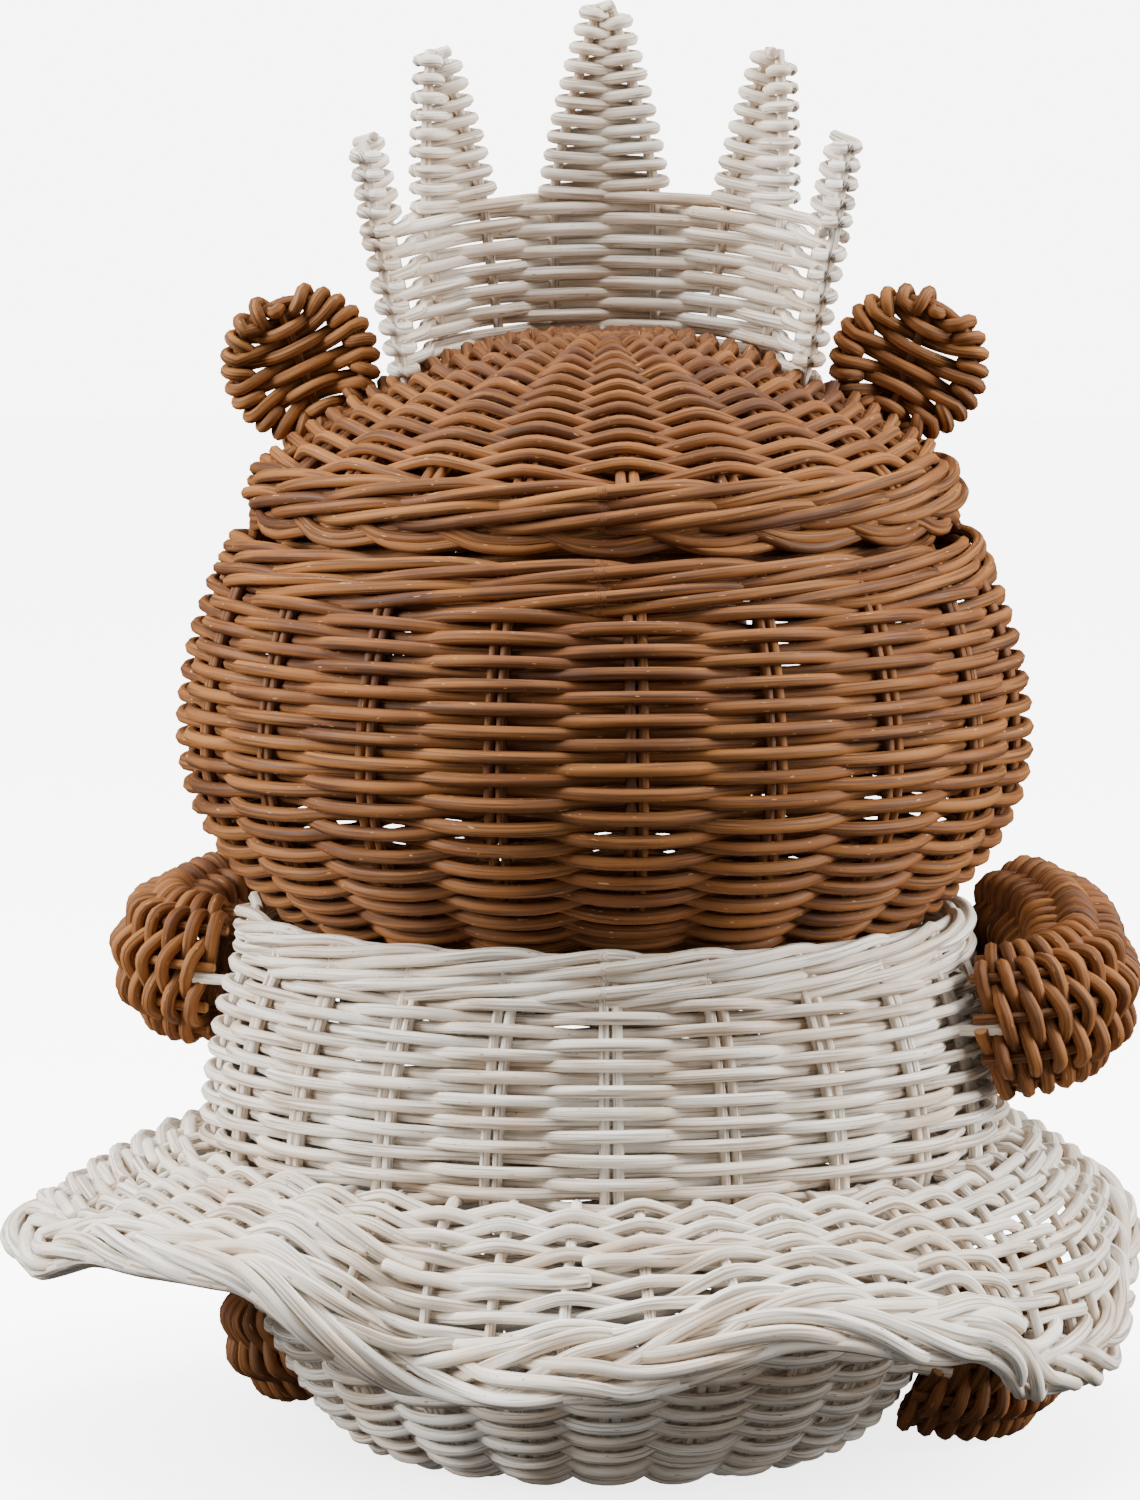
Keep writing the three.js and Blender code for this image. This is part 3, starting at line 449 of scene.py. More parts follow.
def mesh_object(name: str, points: Array, faces: list[Array], slot: Slot) -> bpy.types.Object:
    """Puts whole arrays of points and faces into a smooth mesh at the origin.

    Args:
        name: the piece's name.
        points: points in mm, in rows.
        faces: arrays of point indices, each array with as many columns as its faces have corners.
        slot: the material slot.

    Returns:
        The piece.
    """
    mesh = bpy.data.meshes.new(name)
    corners = np.concatenate([face.ravel() for face in faces])
    sizes = np.concatenate([np.full(len(face), face.shape[1]) for face in faces])
    mesh.vertices.add(len(points))
    mesh.vertices.foreach_set("co", (points * MM).ravel())
    mesh.loops.add(len(corners))
    mesh.loops.foreach_set("vertex_index", corners.astype(np.int32))
    mesh.polygons.add(len(sizes))
    mesh.polygons.foreach_set("loop_start", np.concatenate([[0], np.cumsum(sizes)[:-1]]).astype(np.int32))
    mesh.polygons.foreach_set("loop_total", sizes.astype(np.int32))
    mesh.polygons.foreach_set("use_smooth", np.ones(len(sizes), bool))
    mesh.update(calc_edges=True)
    mesh.materials.append(slot.material())
    made = bpy.data.objects.new(name, mesh)
    bpy.context.scene.collection.objects.link(made)
    return made


def settle(piece: bpy.types.Object, body: Body, replaced: list[str]) -> None:
    """Ties a finished piece to its body and hides the nodes that it stands for.

    Args:
        piece: the finished piece.
        body: the body that it rides on.
        replaced: the nodes that it stands for.
    """
    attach(piece, body.value)
    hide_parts(*replaced)
    log.info("%s: %d faces, on %s", piece.name, len(piece.data.polygons), body.value)


@dataclass
class CanePiece:
    """Round canes that make up one piece, each swept along its own line."""

    name: str
    body: Body
    slot: Slot
    replaced: list[str]
    sides: int = 7
    seed: int = 1
    tone: float = 0.5  # of the piece as a whole, from its shade at 0 to its light at 1
    strands: list[tuple] = field(default_factory=list)  # the points, grain, tone and cut of each
    quads: list[Array] = field(default_factory=list)
    caps: list[Array] = field(default_factory=list)
    used: int = 0

    def __post_init__(self) -> None:
        """Seeds the piece's own source of chance."""
        self.rng = np.random.default_rng(self.seed)

    def sweep(self, path: Array, facing: Array, radius: float | Array = WEAVER / 2,
              closed: bool = False) -> None:
        """Sweeps a round section along a line.

        The section's point at an angle is the line's point plus the radius times (cosine of the angle times
        the outward direction plus sine times the direction across it), both square to the line.

        Args:
            path: the line's points in mm, in rows.
            facing: the direction that the outward one is nearest to, for all points or for each.
            radius: the cane's radius, for all points or for each.
            closed: whether the line's end meets its start.
        """
        facing = np.broadcast_to(facing, path.shape)
        uneven = UNEVENNESS * drift(self.rng, len(path), 2 + len(path) // UNEVEN_SAMPLES)
        size = np.broadcast_to(radius, (len(path),)) * (1 + uneven)
        if not closed:
            ends = unit(np.stack([path[0] - path[1], path[-1] - path[-2]])) * CHAMFER
            path = np.concatenate([path[:1] + ends[:1], path, path[-1:] + ends[1:]])
            facing = np.concatenate([facing[:1], facing, facing[-1:]])
            size = np.concatenate([size[:1] - CHAMFER, size, size[-1:] - CHAMFER])
        count = len(path)
        ahead = np.roll(path, -1, 0) - np.roll(path, 1, 0) if closed else np.gradient(path, axis=0)
        tangent = unit(ahead)
        across = unit(np.cross(tangent, facing))
        outward = np.cross(across, tangent)
        angle = TURN * np.arange(self.sides) / self.sides
        section = np.stack([np.cos(angle), np.sin(angle)], 1)
        rise, side = section.T[:, None, :, None]
        ring = path[:, None] + size[:, None, None] * (rise * outward[:, None] + side * across[:, None])
        steps = np.linalg.norm(np.diff(path, axis=0), axis=1)
        along = np.concatenate([[0], np.cumsum(steps)]) + GRAIN_ALONG * self.rng.random()
        grain = np.empty((count, self.sides, 3))
        grain[..., 0] = along[:, None]
        grain[..., 1:] = WEAVER / 2 * section + GRAIN_ACROSS * self.rng.random()
        canes = np.cumsum(np.concatenate([[0], steps])) // CANE_LENGTH
        apart = self.rng.uniform(-TONE_APART, TONE_APART, int(canes[-1]) + 1)
        strayed = TONE_DRIFT * drift(self.rng, count, 2 + count // TONE_SAMPLES)
        tone = self.tone + apart[canes.astype(int)] + strayed
        cut = np.zeros(count)
        start = self.used + np.arange(count)[:, None] * self.sides
        here, beside = np.arange(self.sides), (np.arange(self.sides) + 1) % self.sides
        following = np.roll(start, -1, 0)
        rows = slice(None) if closed else slice(None, -1)
        quad = np.stack([start + here, start + beside, following + beside, following + here], -1)[rows]
        self.quads.append(quad.reshape(-1, 4))
        if not closed:
            self.caps.append(np.stack([start[0] + here[::-1], start[-1] + here]))
            cut[[0, -1]] = 1
        shares = (np.repeat(share, self.sides) for share in (tone, cut))
        self.strands.append((ring.reshape(-1, 3), grain.reshape(-1, 3), *shares))
        self.used += count * self.sides

    def build(self) -> None:
        """Makes the mesh of all the canes swept so far, and settles it."""
        points, grain, tone, cut = (np.concatenate(part) for part in zip(*self.strands))
        faces = [np.concatenate(part) for part in (self.quads, self.caps) if part]
        piece = mesh_object(self.name, points, faces, self.slot)
        vectors = piece.data.attributes.new("grain", "FLOAT_VECTOR", "POINT")
        vectors.data.foreach_set("vector", grain.astype(np.float32).ravel())
        for name, values in (("tone", tone), ("cut", cut)):
            shares = piece.data.attributes.new(name, "FLOAT", "POINT")
            shares.data.foreach_set("value", np.clip(values, 0, 1).astype(np.float32))
        settle(piece, self.body, self.replaced)


class Surface:
    """A wall's middle surface. Its points and outward directions are functions of an angle and a distance."""

    def at(self, angle: Array, distance: Array) -> tuple[Array, Array]:
        """Points and unit outward directions, in rows, for angles in radians and distances in mm."""
        raise NotImplementedError


@dataclass
class TurnedWall(Surface):
    """A wall of revolution about the basket's axis, or about the Z axis of its own frame.

    Angles run from +Y towards -X, as they do from left to right behind the basket.
    """

    outline: Array
    inset: float
    gather: tuple[float, float, float] = (0.0, 0.0, 1.0)  # share, and the distances that it grows between
    place: Array = field(default_factory=lambda: np.eye(4))

    def __post_init__(self) -> None:
        """Measures the line through the middle of the wall's thickness."""
        tangent = unit(np.gradient(self.outline, axis=0))
        self.outward = np.stack([tangent[:, 1], -tangent[:, 0]], 1)
        self.middle = self.outline - self.inset * self.outward
        steps = np.linalg.norm(np.diff(self.middle, axis=0), axis=1)
        self.reach = np.concatenate([[0], np.cumsum(steps)])
        self.length = float(self.reach[-1])

    def at(self, angle: Array, distance: Array) -> tuple[Array, Array]:
        """The outline's point at the distance, turned to the angle less a share of the angle's sine.

        Args:
            angle: angles round the surface, in radians.
            distance: distances along it, in mm.

        Returns:
            Points in rows, and unit outward directions in rows.
        """
        share, start, end = self.gather
        grown = np.clip((distance - start) / (end - start), 0, 1)
        azimuth = angle - share * grown**2 * np.sin(angle)
        (radius, height), (out, up) = (
            between(distance, self.reach, rows).T for rows in (self.middle, self.outward))
        round_x, round_y = -np.sin(azimuth), np.cos(azimuth)
        point = np.stack([radius * round_x, radius * round_y, height], -1)
        outward = unit(np.stack([out * round_x, out * round_y, up], -1))
        turn, shift = self.place[:3, :3].T, self.place[:3, 3]
        return point @ turn + shift, outward @ turn

    def distance_at(self, height: float) -> float:
        """The distance along the wall at which its middle first reaches a height."""
        return float(self.reach[np.argmax(self.middle[:, 1] >= height)])

    def distance_out(self, radius: float) -> float:
        """The distance along the wall at which its middle first is at least, or at most, that far out.

        Args:
            radius: how far out, in mm.

        Returns:
            The distance in mm.
        """
        out = self.middle[:, 0]
        beyond = out >= radius if out[0] < radius else out <= radius
        return float(self.reach[np.argmax(beyond)])

    def radius_at(self, height: Array) -> Array:
        """The outer radius at heights above the waist or below it."""
        return np.interp(height, self.outline[:, 1], self.outline[:, 0])


@dataclass
class Weave:
    """Plain weave on an odd number of stakes, from one endless weaver.

    The weaver climbs the surface in a spiral, one row to a turn, and stands off the stakes by a cosine of
    half a turn from each stake to the next, so that it passes outside one and inside the next.
    """

    surface: Surface
    stakes: int
    row: float = ROW
    swing: float = SWING
    phase: float = 0.0
    radius: float = WEAVER / 2
    samples: int = 8
    flatness: float = 1.1
    wander: float = 0.65  # how far the weaver strays from its row
    looseness: float = 0.06  # share of its swing that it strays off the stakes by
    stake_wander: float = 0.35
    slack: float = 2.2  # stakes closer together than this many swings make the weaver stand off less

    def stand(self, turn: Array) -> Array:
        """How far the weaver stands off, as a share of the swing, by its turn from stake to stake.

        A flatness over zero lays each pass flat over its stake. One below zero draws it to a point there.

        Args:
            turn: the turn, half of one from each stake to the next, in radians.

        Returns:
            Shares from -1 inside to 1 outside.
        """
        wave = np.cos(turn)
        if self.flatness > 0:
            return np.tanh(self.flatness * wave) / math.tanh(self.flatness)
        return np.arcsin(-self.flatness * wave) / math.asin(-self.flatness)

    def weaver(self, piece: CanePiece, first: float, last: float) -> None:
        """Sweeps the weaver between two distances.

        Args:
            piece: the piece that it belongs to.
            first: the distance where it starts, in mm.
            last: the distance where it ends.
        """
        turns = (last - first) / self.row
        count = max(int(turns * self.stakes * self.samples), 8)
        distance = np.linspace(first, last, count)
        angle = TURN * distance / self.row
        knots = max(int(turns * self.stakes / 2), 2)
        lift = self.wander * drift(piece.rng, count, knots)
        share = self.stand(self.stakes * (angle - self.phase) / 2)
        spacing = self.spacing(angle, distance)
        tight = np.clip(spacing / (self.slack * self.swing), 0, 1)
        stand = self.swing * tight * (1 + self.looseness * drift(piece.rng, count, knots))
        point, outward = self.surface.at(angle, distance + lift)
        piece.sweep(point + outward * (stand * share)[:, None], outward, self.radius)

    def rows(self, piece: CanePiece, first: float, last: float) -> None:
        """Makes a piece of nothing but the rows between two distances."""
        self.weaver(piece, first, last)
        piece.build()

    def spacing(self, angle: Array, distance: Array) -> Array:
        """The distance between neighbouring stakes, in mm, from two points a little way apart.

        Args:
            angle: angles round the surface, in radians.
            distance: distances along it, in mm.

        Returns:
            A length for each.
        """
        small = 0.01
        apart = self.surface.at(angle + small, distance)[0] - self.surface.at(angle, distance)[0]
        return np.linalg.norm(apart, axis=-1) / small * TURN / self.stakes

    def pairs(self, piece: CanePiece, first: float, last: float, count: int = 40,
              paired: bool = True) -> None:
        """Sweeps the stakes, in pairs side by side or one by one.

        Args:
            piece: the piece that they belong to.
            first: the distance where they start, in mm.
            last: the distance where they end.
            count: samples along each stake.
            paired: whether each place holds two canes.
        """
        distance = np.linspace(first, last, count)
        for stake in range(self.stakes):
            middle = self.phase + TURN * stake / self.stakes
            for side in (-1, 1) if paired else (0,):
                lean = self.stake_wander * drift(piece.rng, count, 3)
                gap = self.spacing(np.full(count, middle), distance) * self.stakes / TURN
                angle = middle + (side * (STAKE + PAIR_GAP) / 2 + lean) / np.maximum(gap, 1)
                point, outward = self.surface.at(angle, distance)
                piece.sweep(point, outward, STAKE / 2)


@dataclass
class Twist:
    """A border of strands twisted round each other along a wall.

    A strand's offset outward is a cosine of the twist, and its place along the wall is a sine. The twist
    lingers on the outside, as each strand passes outside more stakes than inside.
    """

    surface: Surface
    distance: float
    strands: int
    turns: int
    out: float
    along: float
    radius: float = WEAVER / 2
    linger: float = 0.5
    bob: float = 0.3  # how far the whole border strays along the wall
    samples: int = 16
    core: float = 0.0  # the radius of the two straight rings that the strands hide, if any
    core_sink: float = 0.6  # of those rings, on top of their radius
    core_samples: int = 160

    def sweep(self, piece: CanePiece) -> None:
        """Sweeps the border's strands, each a closed ring.

        Args:
            piece: the piece that they belong to.
        """
        count = abs(self.turns) * self.samples * 2
        angle = TURN * np.arange(count) / count
        for strand in range(self.strands):
            twist = self.turns * angle + TURN * strand / self.strands
            eased = twist - self.linger * np.sin(twist)
            place = self.distance + self.along * np.sin(eased) + self.bob * np.sin(3 * angle + strand)
            point, outward = self.surface.at(angle, place)
            stand = self.out * np.cos(eased)
            piece.sweep(point + outward * stand[:, None], outward, self.radius, closed=True)
        around = TURN * np.arange(self.core_samples) / self.core_samples
        for side in (-1, 1) if self.core else ():
            point, outward = self.surface.at(around, self.distance + side * self.core + 0 * around)
            piece.sweep(point - outward * (self.core + self.core_sink), outward, self.core, closed=True)


@dataclass
class RolledBorder:
    """A border of stakes that are each laid along the edge, over their neighbours, and hooked under it.

    A strand's keys are its travel in stake spacings, its distance along the wall and how far it stands off.
    Samples are spread evenly along the line through the keys, then smoothed.
    """

    surface: Surface
    strands: int
    keys: tuple
    radius: float
    phase: float = 0.0
    samples: int = 40
    travel_weight: float = 8.0  # mm that one stake spacing counts for in the line's length
    smoothing: int = 9  # samples
    uneven: float = 0.12  # share of a stake spacing that a strand is off its place
    sway: float = 0.7  # how far it strays along the wall
    lift: float = 0.4  # how far it strays off the wall

    def sweep(self, piece: CanePiece, shift: float = 0.0) -> None:
        """Sweeps the strands.

        Args:
            piece: the piece that they belong to.
            shift: how much farther along the wall they lie than the keys say, in mm.
        """
        keys = np.array(self.keys, float)
        steps = np.linalg.norm(np.diff(keys * (self.travel_weight, 1, 1), axis=0), axis=1)
        length = np.concatenate([[0], np.cumsum(steps)])
        place = np.linspace(0, length[-1], self.samples)
        window = np.hanning(self.smoothing)[1:-1] / np.hanning(self.smoothing).sum()
        beyond = len(window) // 2
        travel, distance, stand = (
            np.convolve(np.pad(column, beyond, mode="reflect", reflect_type="odd"), window, "valid")
            for column in between(place, length, keys).T)
        for strand in range(self.strands):
            sway = self.sway * drift(piece.rng, self.samples, 4)
            turn = TURN * (strand + travel + self.uneven * piece.rng.uniform(-1, 1)) / self.strands
            point, outward = self.surface.at(self.phase + turn, distance + sway + shift)
            lift = self.lift * drift(piece.rng, self.samples, 3)
            piece.sweep(point + outward * (stand + lift)[:, None], outward, self.radius)


def laced(piece: CanePiece, surface: Surface, posts: Callable[[float], Array], first: float, last: float,
          row: float, swing: float, radius: float, samples: int, climb: float = 0.6) -> None:
    """Laces one weaver to and fro round a few posts.

    On its way across it stands off the posts by a cosine of half a turn from post to post, and at each end it
    goes round the last post in half a circle.

    Args:
        piece: the piece that it belongs to.
        surface: the surface of the posts, whose angle is a length across it in mm.
        posts: gives the posts' places across the surface at a height.
        first: the height where the weaver starts, in mm.
        last: the height where it ends.
        row: the climb from one way across to the next.
        swing: how far it stands off a post.
        radius: the weaver's radius.
        samples: samples from one post to the next.
        climb: the share of a row that it climbs on its way across. It climbs the rest in the bend.
    """
    rows = max(int(round((last - first) / row)), 1)
    across, height, offset = [], [], []
    for number in range(rows):
        level = first + row * number
        places = np.sort(posts(level))
        index = np.linspace(0, len(places) - 1, samples * (len(places) - 1) + 1)
        if number % 2:
            index = index[::-1]
        sign = -1 if number % 2 else 1
        stand = sign * swing * np.cos(math.pi * index)
        across.append(np.interp(index, np.arange(len(places)), places))
        offset.append(stand)
        height.append(level + np.linspace(0, climb, len(index)) * row)
        if number == rows - 1:
            continue
        bend = np.linspace(0, math.pi, 8)[1:-1]
        across.append(across[-1][-1] + sign * swing * np.sin(bend))
        offset.append(stand[-1] * np.cos(bend))
        height.append(level + (climb + (1 - climb) * bend / math.pi) * row)
    sideways, level, stand = (np.concatenate(part) for part in (across, height, offset))
    level = level + 0.25 * drift(piece.rng, len(level), rows * 2)
    point, outward = surface.at(sideways, level)
    piece.sweep(point + outward * stand[:, None], outward, radius)


@dataclass
class Bowl:
    """A bowl's pieces: rows in bands from the middle of its bottom, then stakes that end in a twisted rim."""

    wall: TurnedWall
    weave: Weave
    body: Body
    slot: Slot
    bands: dict[str, str]  # the node that each band's piece stands for
    ends: tuple  # the distances where the bands end, but for the last, which ends under the rim
    frame: tuple[str, str]  # the name of the stakes' piece, and its node
    seed: int  # of the first piece; each one after it has the next
    rim_turns: int
    rim_row: float  # the height of each of the rim's two rows
    rim_out: float = 4.5
    rim_along: float = 4.3
    rim_core: float = 2.4
    rim_gap: float = 1.0
    first_row: float = 14.0
    first_stake: float = 16.0
    stake_end: float = 3.0  # from the rim's top

    def build(self) -> None:
        """Weaves the bands, sets the stakes and twists the rim."""
        wall = self.wall
        places = (self.first_row, *self.ends, wall.length - 2 * self.rim_row - self.rim_gap)
        for number, (name, node) in enumerate(self.bands.items()):
            band = CanePiece(name, self.body, self.slot, [node], seed=self.seed + number)
            self.weave.rows(band, places[number], places[number + 1])
        name, node = self.frame
        piece = CanePiece(name, self.body, self.slot, [node], seed=self.seed + len(self.bands))
        self.weave.pairs(piece, self.first_stake, wall.length - self.stake_end)
        for row in (0, 1):
            twist = Twist(wall, wall.length - self.rim_row * (row + 0.5), 3, self.rim_turns, self.rim_out,
                          self.rim_along, core=self.rim_core)
            twist.sweep(piece)
        piece.build()


@dataclass
class BasketShape:
    """The white body basket's wall, from the middle of its bottom to its rim, and what it is woven with."""

    base_radius: float = 97.0
    disc_radius: float = 84.0
    foot_radius: float = 104.0  # where the foot's rows end
    bowl_flare: tuple[float, float] = (42.0, 20.0)
    taper: float = 2.0
    rim_radius: float = 150.5
    rim_depth: float = 14.0
    rim_row: float = 9.7
    stakes: int = 21
    stake_turn: float = math.radians(0.7)
    gather: float = 0.1  # how far the stakes behind draw together towards the rim

    def __post_init__(self) -> None:
        """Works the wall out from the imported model's heights and the curves above."""
        self.waist_height = span("torso_weave")[0][2]
        self.waist_radius = span("torso_weave")[1][0]
        top = span("body_stakes_and_rim")[1][2]
        foot = (self.base_radius, 0.0)
        waist = (self.waist_radius, self.waist_height)
        flare = (self.base_radius + self.bowl_flare[0], self.bowl_flare[1])
        taper = (self.waist_radius - self.taper, (self.waist_height + top) / 2)
        shoulder = (self.rim_radius, top - self.rim_depth)
        outline = np.concatenate([
            np.linspace((AXIS_GAP, 0.0), foot, CURVE_SAMPLES)[:-1],
            bezier(foot, flare, waist)[:-1],
            bezier(waist, taper, shoulder),
            np.linspace(shoulder, (self.rim_radius, top), 8)[1:],
        ])
        self.wall = TurnedWall(outline, WALL / 2)
        self.waist_at = self.wall.distance_at(self.waist_height)
        self.wall.gather = (self.gather, self.waist_at, self.wall.length)

    def bowl(self) -> Bowl:
        """The basket that carries all the rest: bottom, foot, bowl, torso, stakes and rim.

        Returns:
            The bowl, ready to build.
        """
        weave = Weave(self.wall, self.stakes, phase=self.stake_turn, radius=2.55, wander=0.75)
        bands = {"bottom_spiral": "base_disc", "foot_rows": "base_border", "bowl_rows": "bowl_weave",
                 "torso_rows": "torso_weave"}
        ends = (*map(self.wall.distance_out, (self.disc_radius, self.foot_radius)), self.waist_at)
        frame = ("body_stakes_and_twisted_rim", "body_stakes_and_rim")
        return Bowl(self.wall, weave, Body.BASKET, Slot.WHITE, bands, ends, frame, 11, 7, self.rim_row)


@dataclass
class Skirt(Surface):
    """The wavy woven skirt round the waist, as a surface and as pieces.

    A point's slope below level grows evenly with its distance from the root, from 1 - curl times the droop to
    1 + curl times it, so that the radius is the integral of the slope's cosine and the height of its sine.
    Both integrals are drawn out by the reach.
    """

    shape: BasketShape
    length: float = 68.0
    curl: float = 0.4
    clearance: float = 1.0
    stakes: int = 43
    row: float = 4.8
    swing: float = 4.3
    first_row: float = 2.0
    stake_ends: tuple = (-6.0, 2.0)  # past the root and past the skirt's length
    border_at: float = 5.0  # from the last row to the skirt's length
    # Azimuths from the middle of the back towards the bear's right, with the skirt's droop in degrees and its
    # reach as a share of its length.
    waves: tuple = (
        (-100, 29, 1.12), (-78, 30, 1.0), (-58, 21, 0.84), (-40, 22, 0.8), (-20, 60, 0.94), (0, 35, 1.14),
        (18, 23, 1.07), (36, 34, 1.06), (54, 56, 1.15), (70, 59, 1.18), (88, 54, 1.0), (118, 30, 1.02),
        (150, 50, 1.04), (180, 34, 1.0), (210, 28, 1.0), (236, 46, 1.06), (260, 29, 1.12),
    )
    # The border's layers: its inner roll, its outer one and the low one along the skirt's edge.
    border: tuple = (
        (
            (0.0, 80.0, -4.0), (0.36, 76.5, -2.2), (0.72, 73.0, 0.4), (1.2, 69.5, 4.4), (1.75, 66.4, 5.4),
            (2.2, 63.6, 4.4), (2.5, 61.6, 0.5), (2.75, 60.0, -3.5),
        ), (
            (0.0, 63.5, -4.0), (0.42, 66.5, -1.8), (0.78, 69.5, 1.0), (1.2, 73.5, 4.8), (1.8, 78.0, 5.4),
            (2.35, 81.8, 4.2), (2.75, 83.4, 1.2), (3.05, 82.8, -2.0), (3.3, 80.0, -4.4), (3.5, 76.5, -5.0),
        ), (
            (0.0, 76.0, -5.4), (1.0, 79.5, -4.6), (2.2, 82.4, -2.2), (3.4, 82.8, -2.6), (4.4, 80.0, -5.4),
            (5.0, 76.5, -6.2),
        ),
    )
    border_radius: float = 3.1
    # Where weavers were cut on top of the panel: azimuth and distance.
    ends: tuple = (
        (-76.2, 33.5), (-51.0, 26.0), (-42.2, 26.0), (-35.0, 35.5), (-28.5, 34.5), (-21.5, 33.5),
        (-12.0, 40.5), (-1.8, 41.0), (12.0, 36.5), (17.0, 35.5), (33.8, 46.0),
    )

    def wave(self, angle: Array) -> tuple[Array, Array]:
        """The droop in radians and the reach, by half a cosine from each named wave to the next.

        Args:
            angle: angles round the surface, in radians.

        Returns:
            Droops and reaches.
        """
        places, droops, reaches = np.array(self.waves, float).T
        turned = places[0] + np.mod(np.degrees(angle) - places[0], 360)
        after = np.clip(np.searchsorted(places, turned, side="right"), 1, len(places) - 1)
        share = (turned - places[after - 1]) / (places[after] - places[after - 1])
        eased = (1 - np.cos(share * math.pi)) / 2
        droop, reach = (each[after - 1] * (1 - eased) + each[after] * eased for each in (droops, reaches))
        return np.radians(droop), reach

    def middle(self, angle: Array, distance: Array) -> Array:
        """Points of the middle surface.

        Args:
            angle: angles round the surface, in radians.
            distance: distances along it, in mm.

        Returns:
            Points in rows.
        """
        droop, reach = self.wave(angle)
        first = (1 - self.curl) * droop
        steepening = 2 * self.curl * droop / self.length
        slope = first + steepening * np.maximum(distance, 0)
        root = self.shape.waist_radius + self.clearance + np.minimum(distance, 0)
        radius = root + reach * (np.sin(slope) - np.sin(first)) / steepening
        height = self.shape.waist_height + reach * (np.cos(slope) - np.cos(first)) / steepening
        return np.stack([-np.sin(angle) * radius, np.cos(angle) * radius, height], -1)

    def at(self, angle: Array, distance: Array) -> tuple[Array, Array]:
        """Points and upward directions, the latter from neighbouring points.

        Args:
            angle: angles round the surface, in radians.
            distance: distances along it, in mm.

        Returns:
            Points in rows, and unit outward directions in rows.
        """
        angle, distance = np.broadcast_arrays(np.asarray(angle, float), np.asarray(distance, float))
        small = 0.5
        turn = small / self.shape.waist_radius
        outside = np.maximum(distance, 0)
        along = self.middle(angle, outside + small) - self.middle(angle, outside)
        round_it = self.middle(angle + turn, distance) - self.middle(angle - turn, distance)
        return self.middle(angle, distance), unit(np.cross(round_it, along) * -1)

    def build(self) -> None:
        """Weaves the panel and rolls its border."""
        weave = Weave(self, self.stakes, self.row, self.swing, phase=math.pi, radius=2.65, wander=1.3,
                      flatness=-0.9)
        panel = CanePiece("skirt_rows_and_stakes", Body.BASKET, Slot.WHITE, ["skirt_panel"], seed=21)
        weave.weaver(panel, self.first_row, self.length - self.border_at)
        before, beyond = self.stake_ends
        weave.pairs(panel, before, self.length + beyond, count=16, paired=False)
        for azimuth, distance in self.ends:
            self.cut_end(panel, weave, math.radians(azimuth), distance)
        panel.build()
        edge = CanePiece("skirt_rolled_border", Body.BASKET, Slot.WHITE, ["skirt_border"], sides=8, seed=22)
        for keys in self.border:
            RolledBorder(self, self.stakes, keys, self.border_radius, math.pi, samples=56).sweep(edge)
        edge.build()

    def cut_end(self, panel: CanePiece, weave: Weave, angle: float, distance: float) -> None:
        """Lays the last stretch of a weaver over a stake and cuts it off just past it.

        Args:
            panel: the piece that it belongs to.
            weave: the weave that it lies on.
            angle: the azimuth of the cut, in radians.
            distance: its distance from the root.
        """
        length, rise = 1.7, 1.6  # in stake spacings, and in mm
        step = np.linspace(-length, 0.0, 20)
        turn = angle + step * TURN / self.stakes
        wave = 0.75 - 0.5 * np.cos(math.pi * (step + 0.25))
        stand = weave.swing * wave + rise * (step + length) / length
        point, outward = self.at(turn, distance + 2.0 * step)
        panel.sweep(point + outward * stand[:, None], outward, weave.radius)


@dataclass
class HeadShape:
    """The brown head bowl's wall, from the middle of its bottom to its rim, and what it is woven with."""

    base_radius: float = 75.0
    lower_fullness: float = 44.0
    widest: float = 106.0
    upper_fullness: float = 41.0
    rim_radius: float = 150.5
    rim_row: float = 9.6
    stakes: int = 19
    stake_turn: float = math.radians(4.0)

    def __post_init__(self) -> None:
        """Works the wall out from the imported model's heights and the curves above."""
        self.bottom = span("head_base_disc")[0][2]
        self.top = span("head_stakes_and_rim")[1][2]
        radius = span("head_weave")[1][0]
        edge = (self.base_radius, self.bottom)
        belly = (radius, self.bottom + self.widest)
        rim = (self.rim_radius, self.top)
        lower = bezier(edge, (radius, self.bottom + self.lower_fullness), belly)
        upper = bezier(belly, (radius, belly[1] + self.upper_fullness), rim)
        self.side = np.concatenate([lower, upper[1:]])
        disc = np.linspace((AXIS_GAP, self.bottom), edge, CURVE_SAMPLES)[:-1]
        self.wall = TurnedWall(np.concatenate([disc, lower[:-1], upper]), WALL / 2)

    def bowl(self) -> Bowl:
        """The head bowl: bottom, rows, stakes and rim.

        Returns:
            The bowl, ready to build.
        """
        weave = Weave(self.wall, self.stakes, phase=self.stake_turn, swing=4.3, radius=2.8, wander=0.5)
        bands = {"head_bottom_spiral": "head_base_disc", "head_rows": "head_weave"}
        ends = (self.wall.distance_out(self.base_radius),)
        frame = ("head_stakes_and_twisted_rim", "head_stakes_and_rim")
        return Bowl(self.wall, weave, Body.HEAD, Slot.BROWN, bands, ends, frame, 31, 6, self.rim_row)


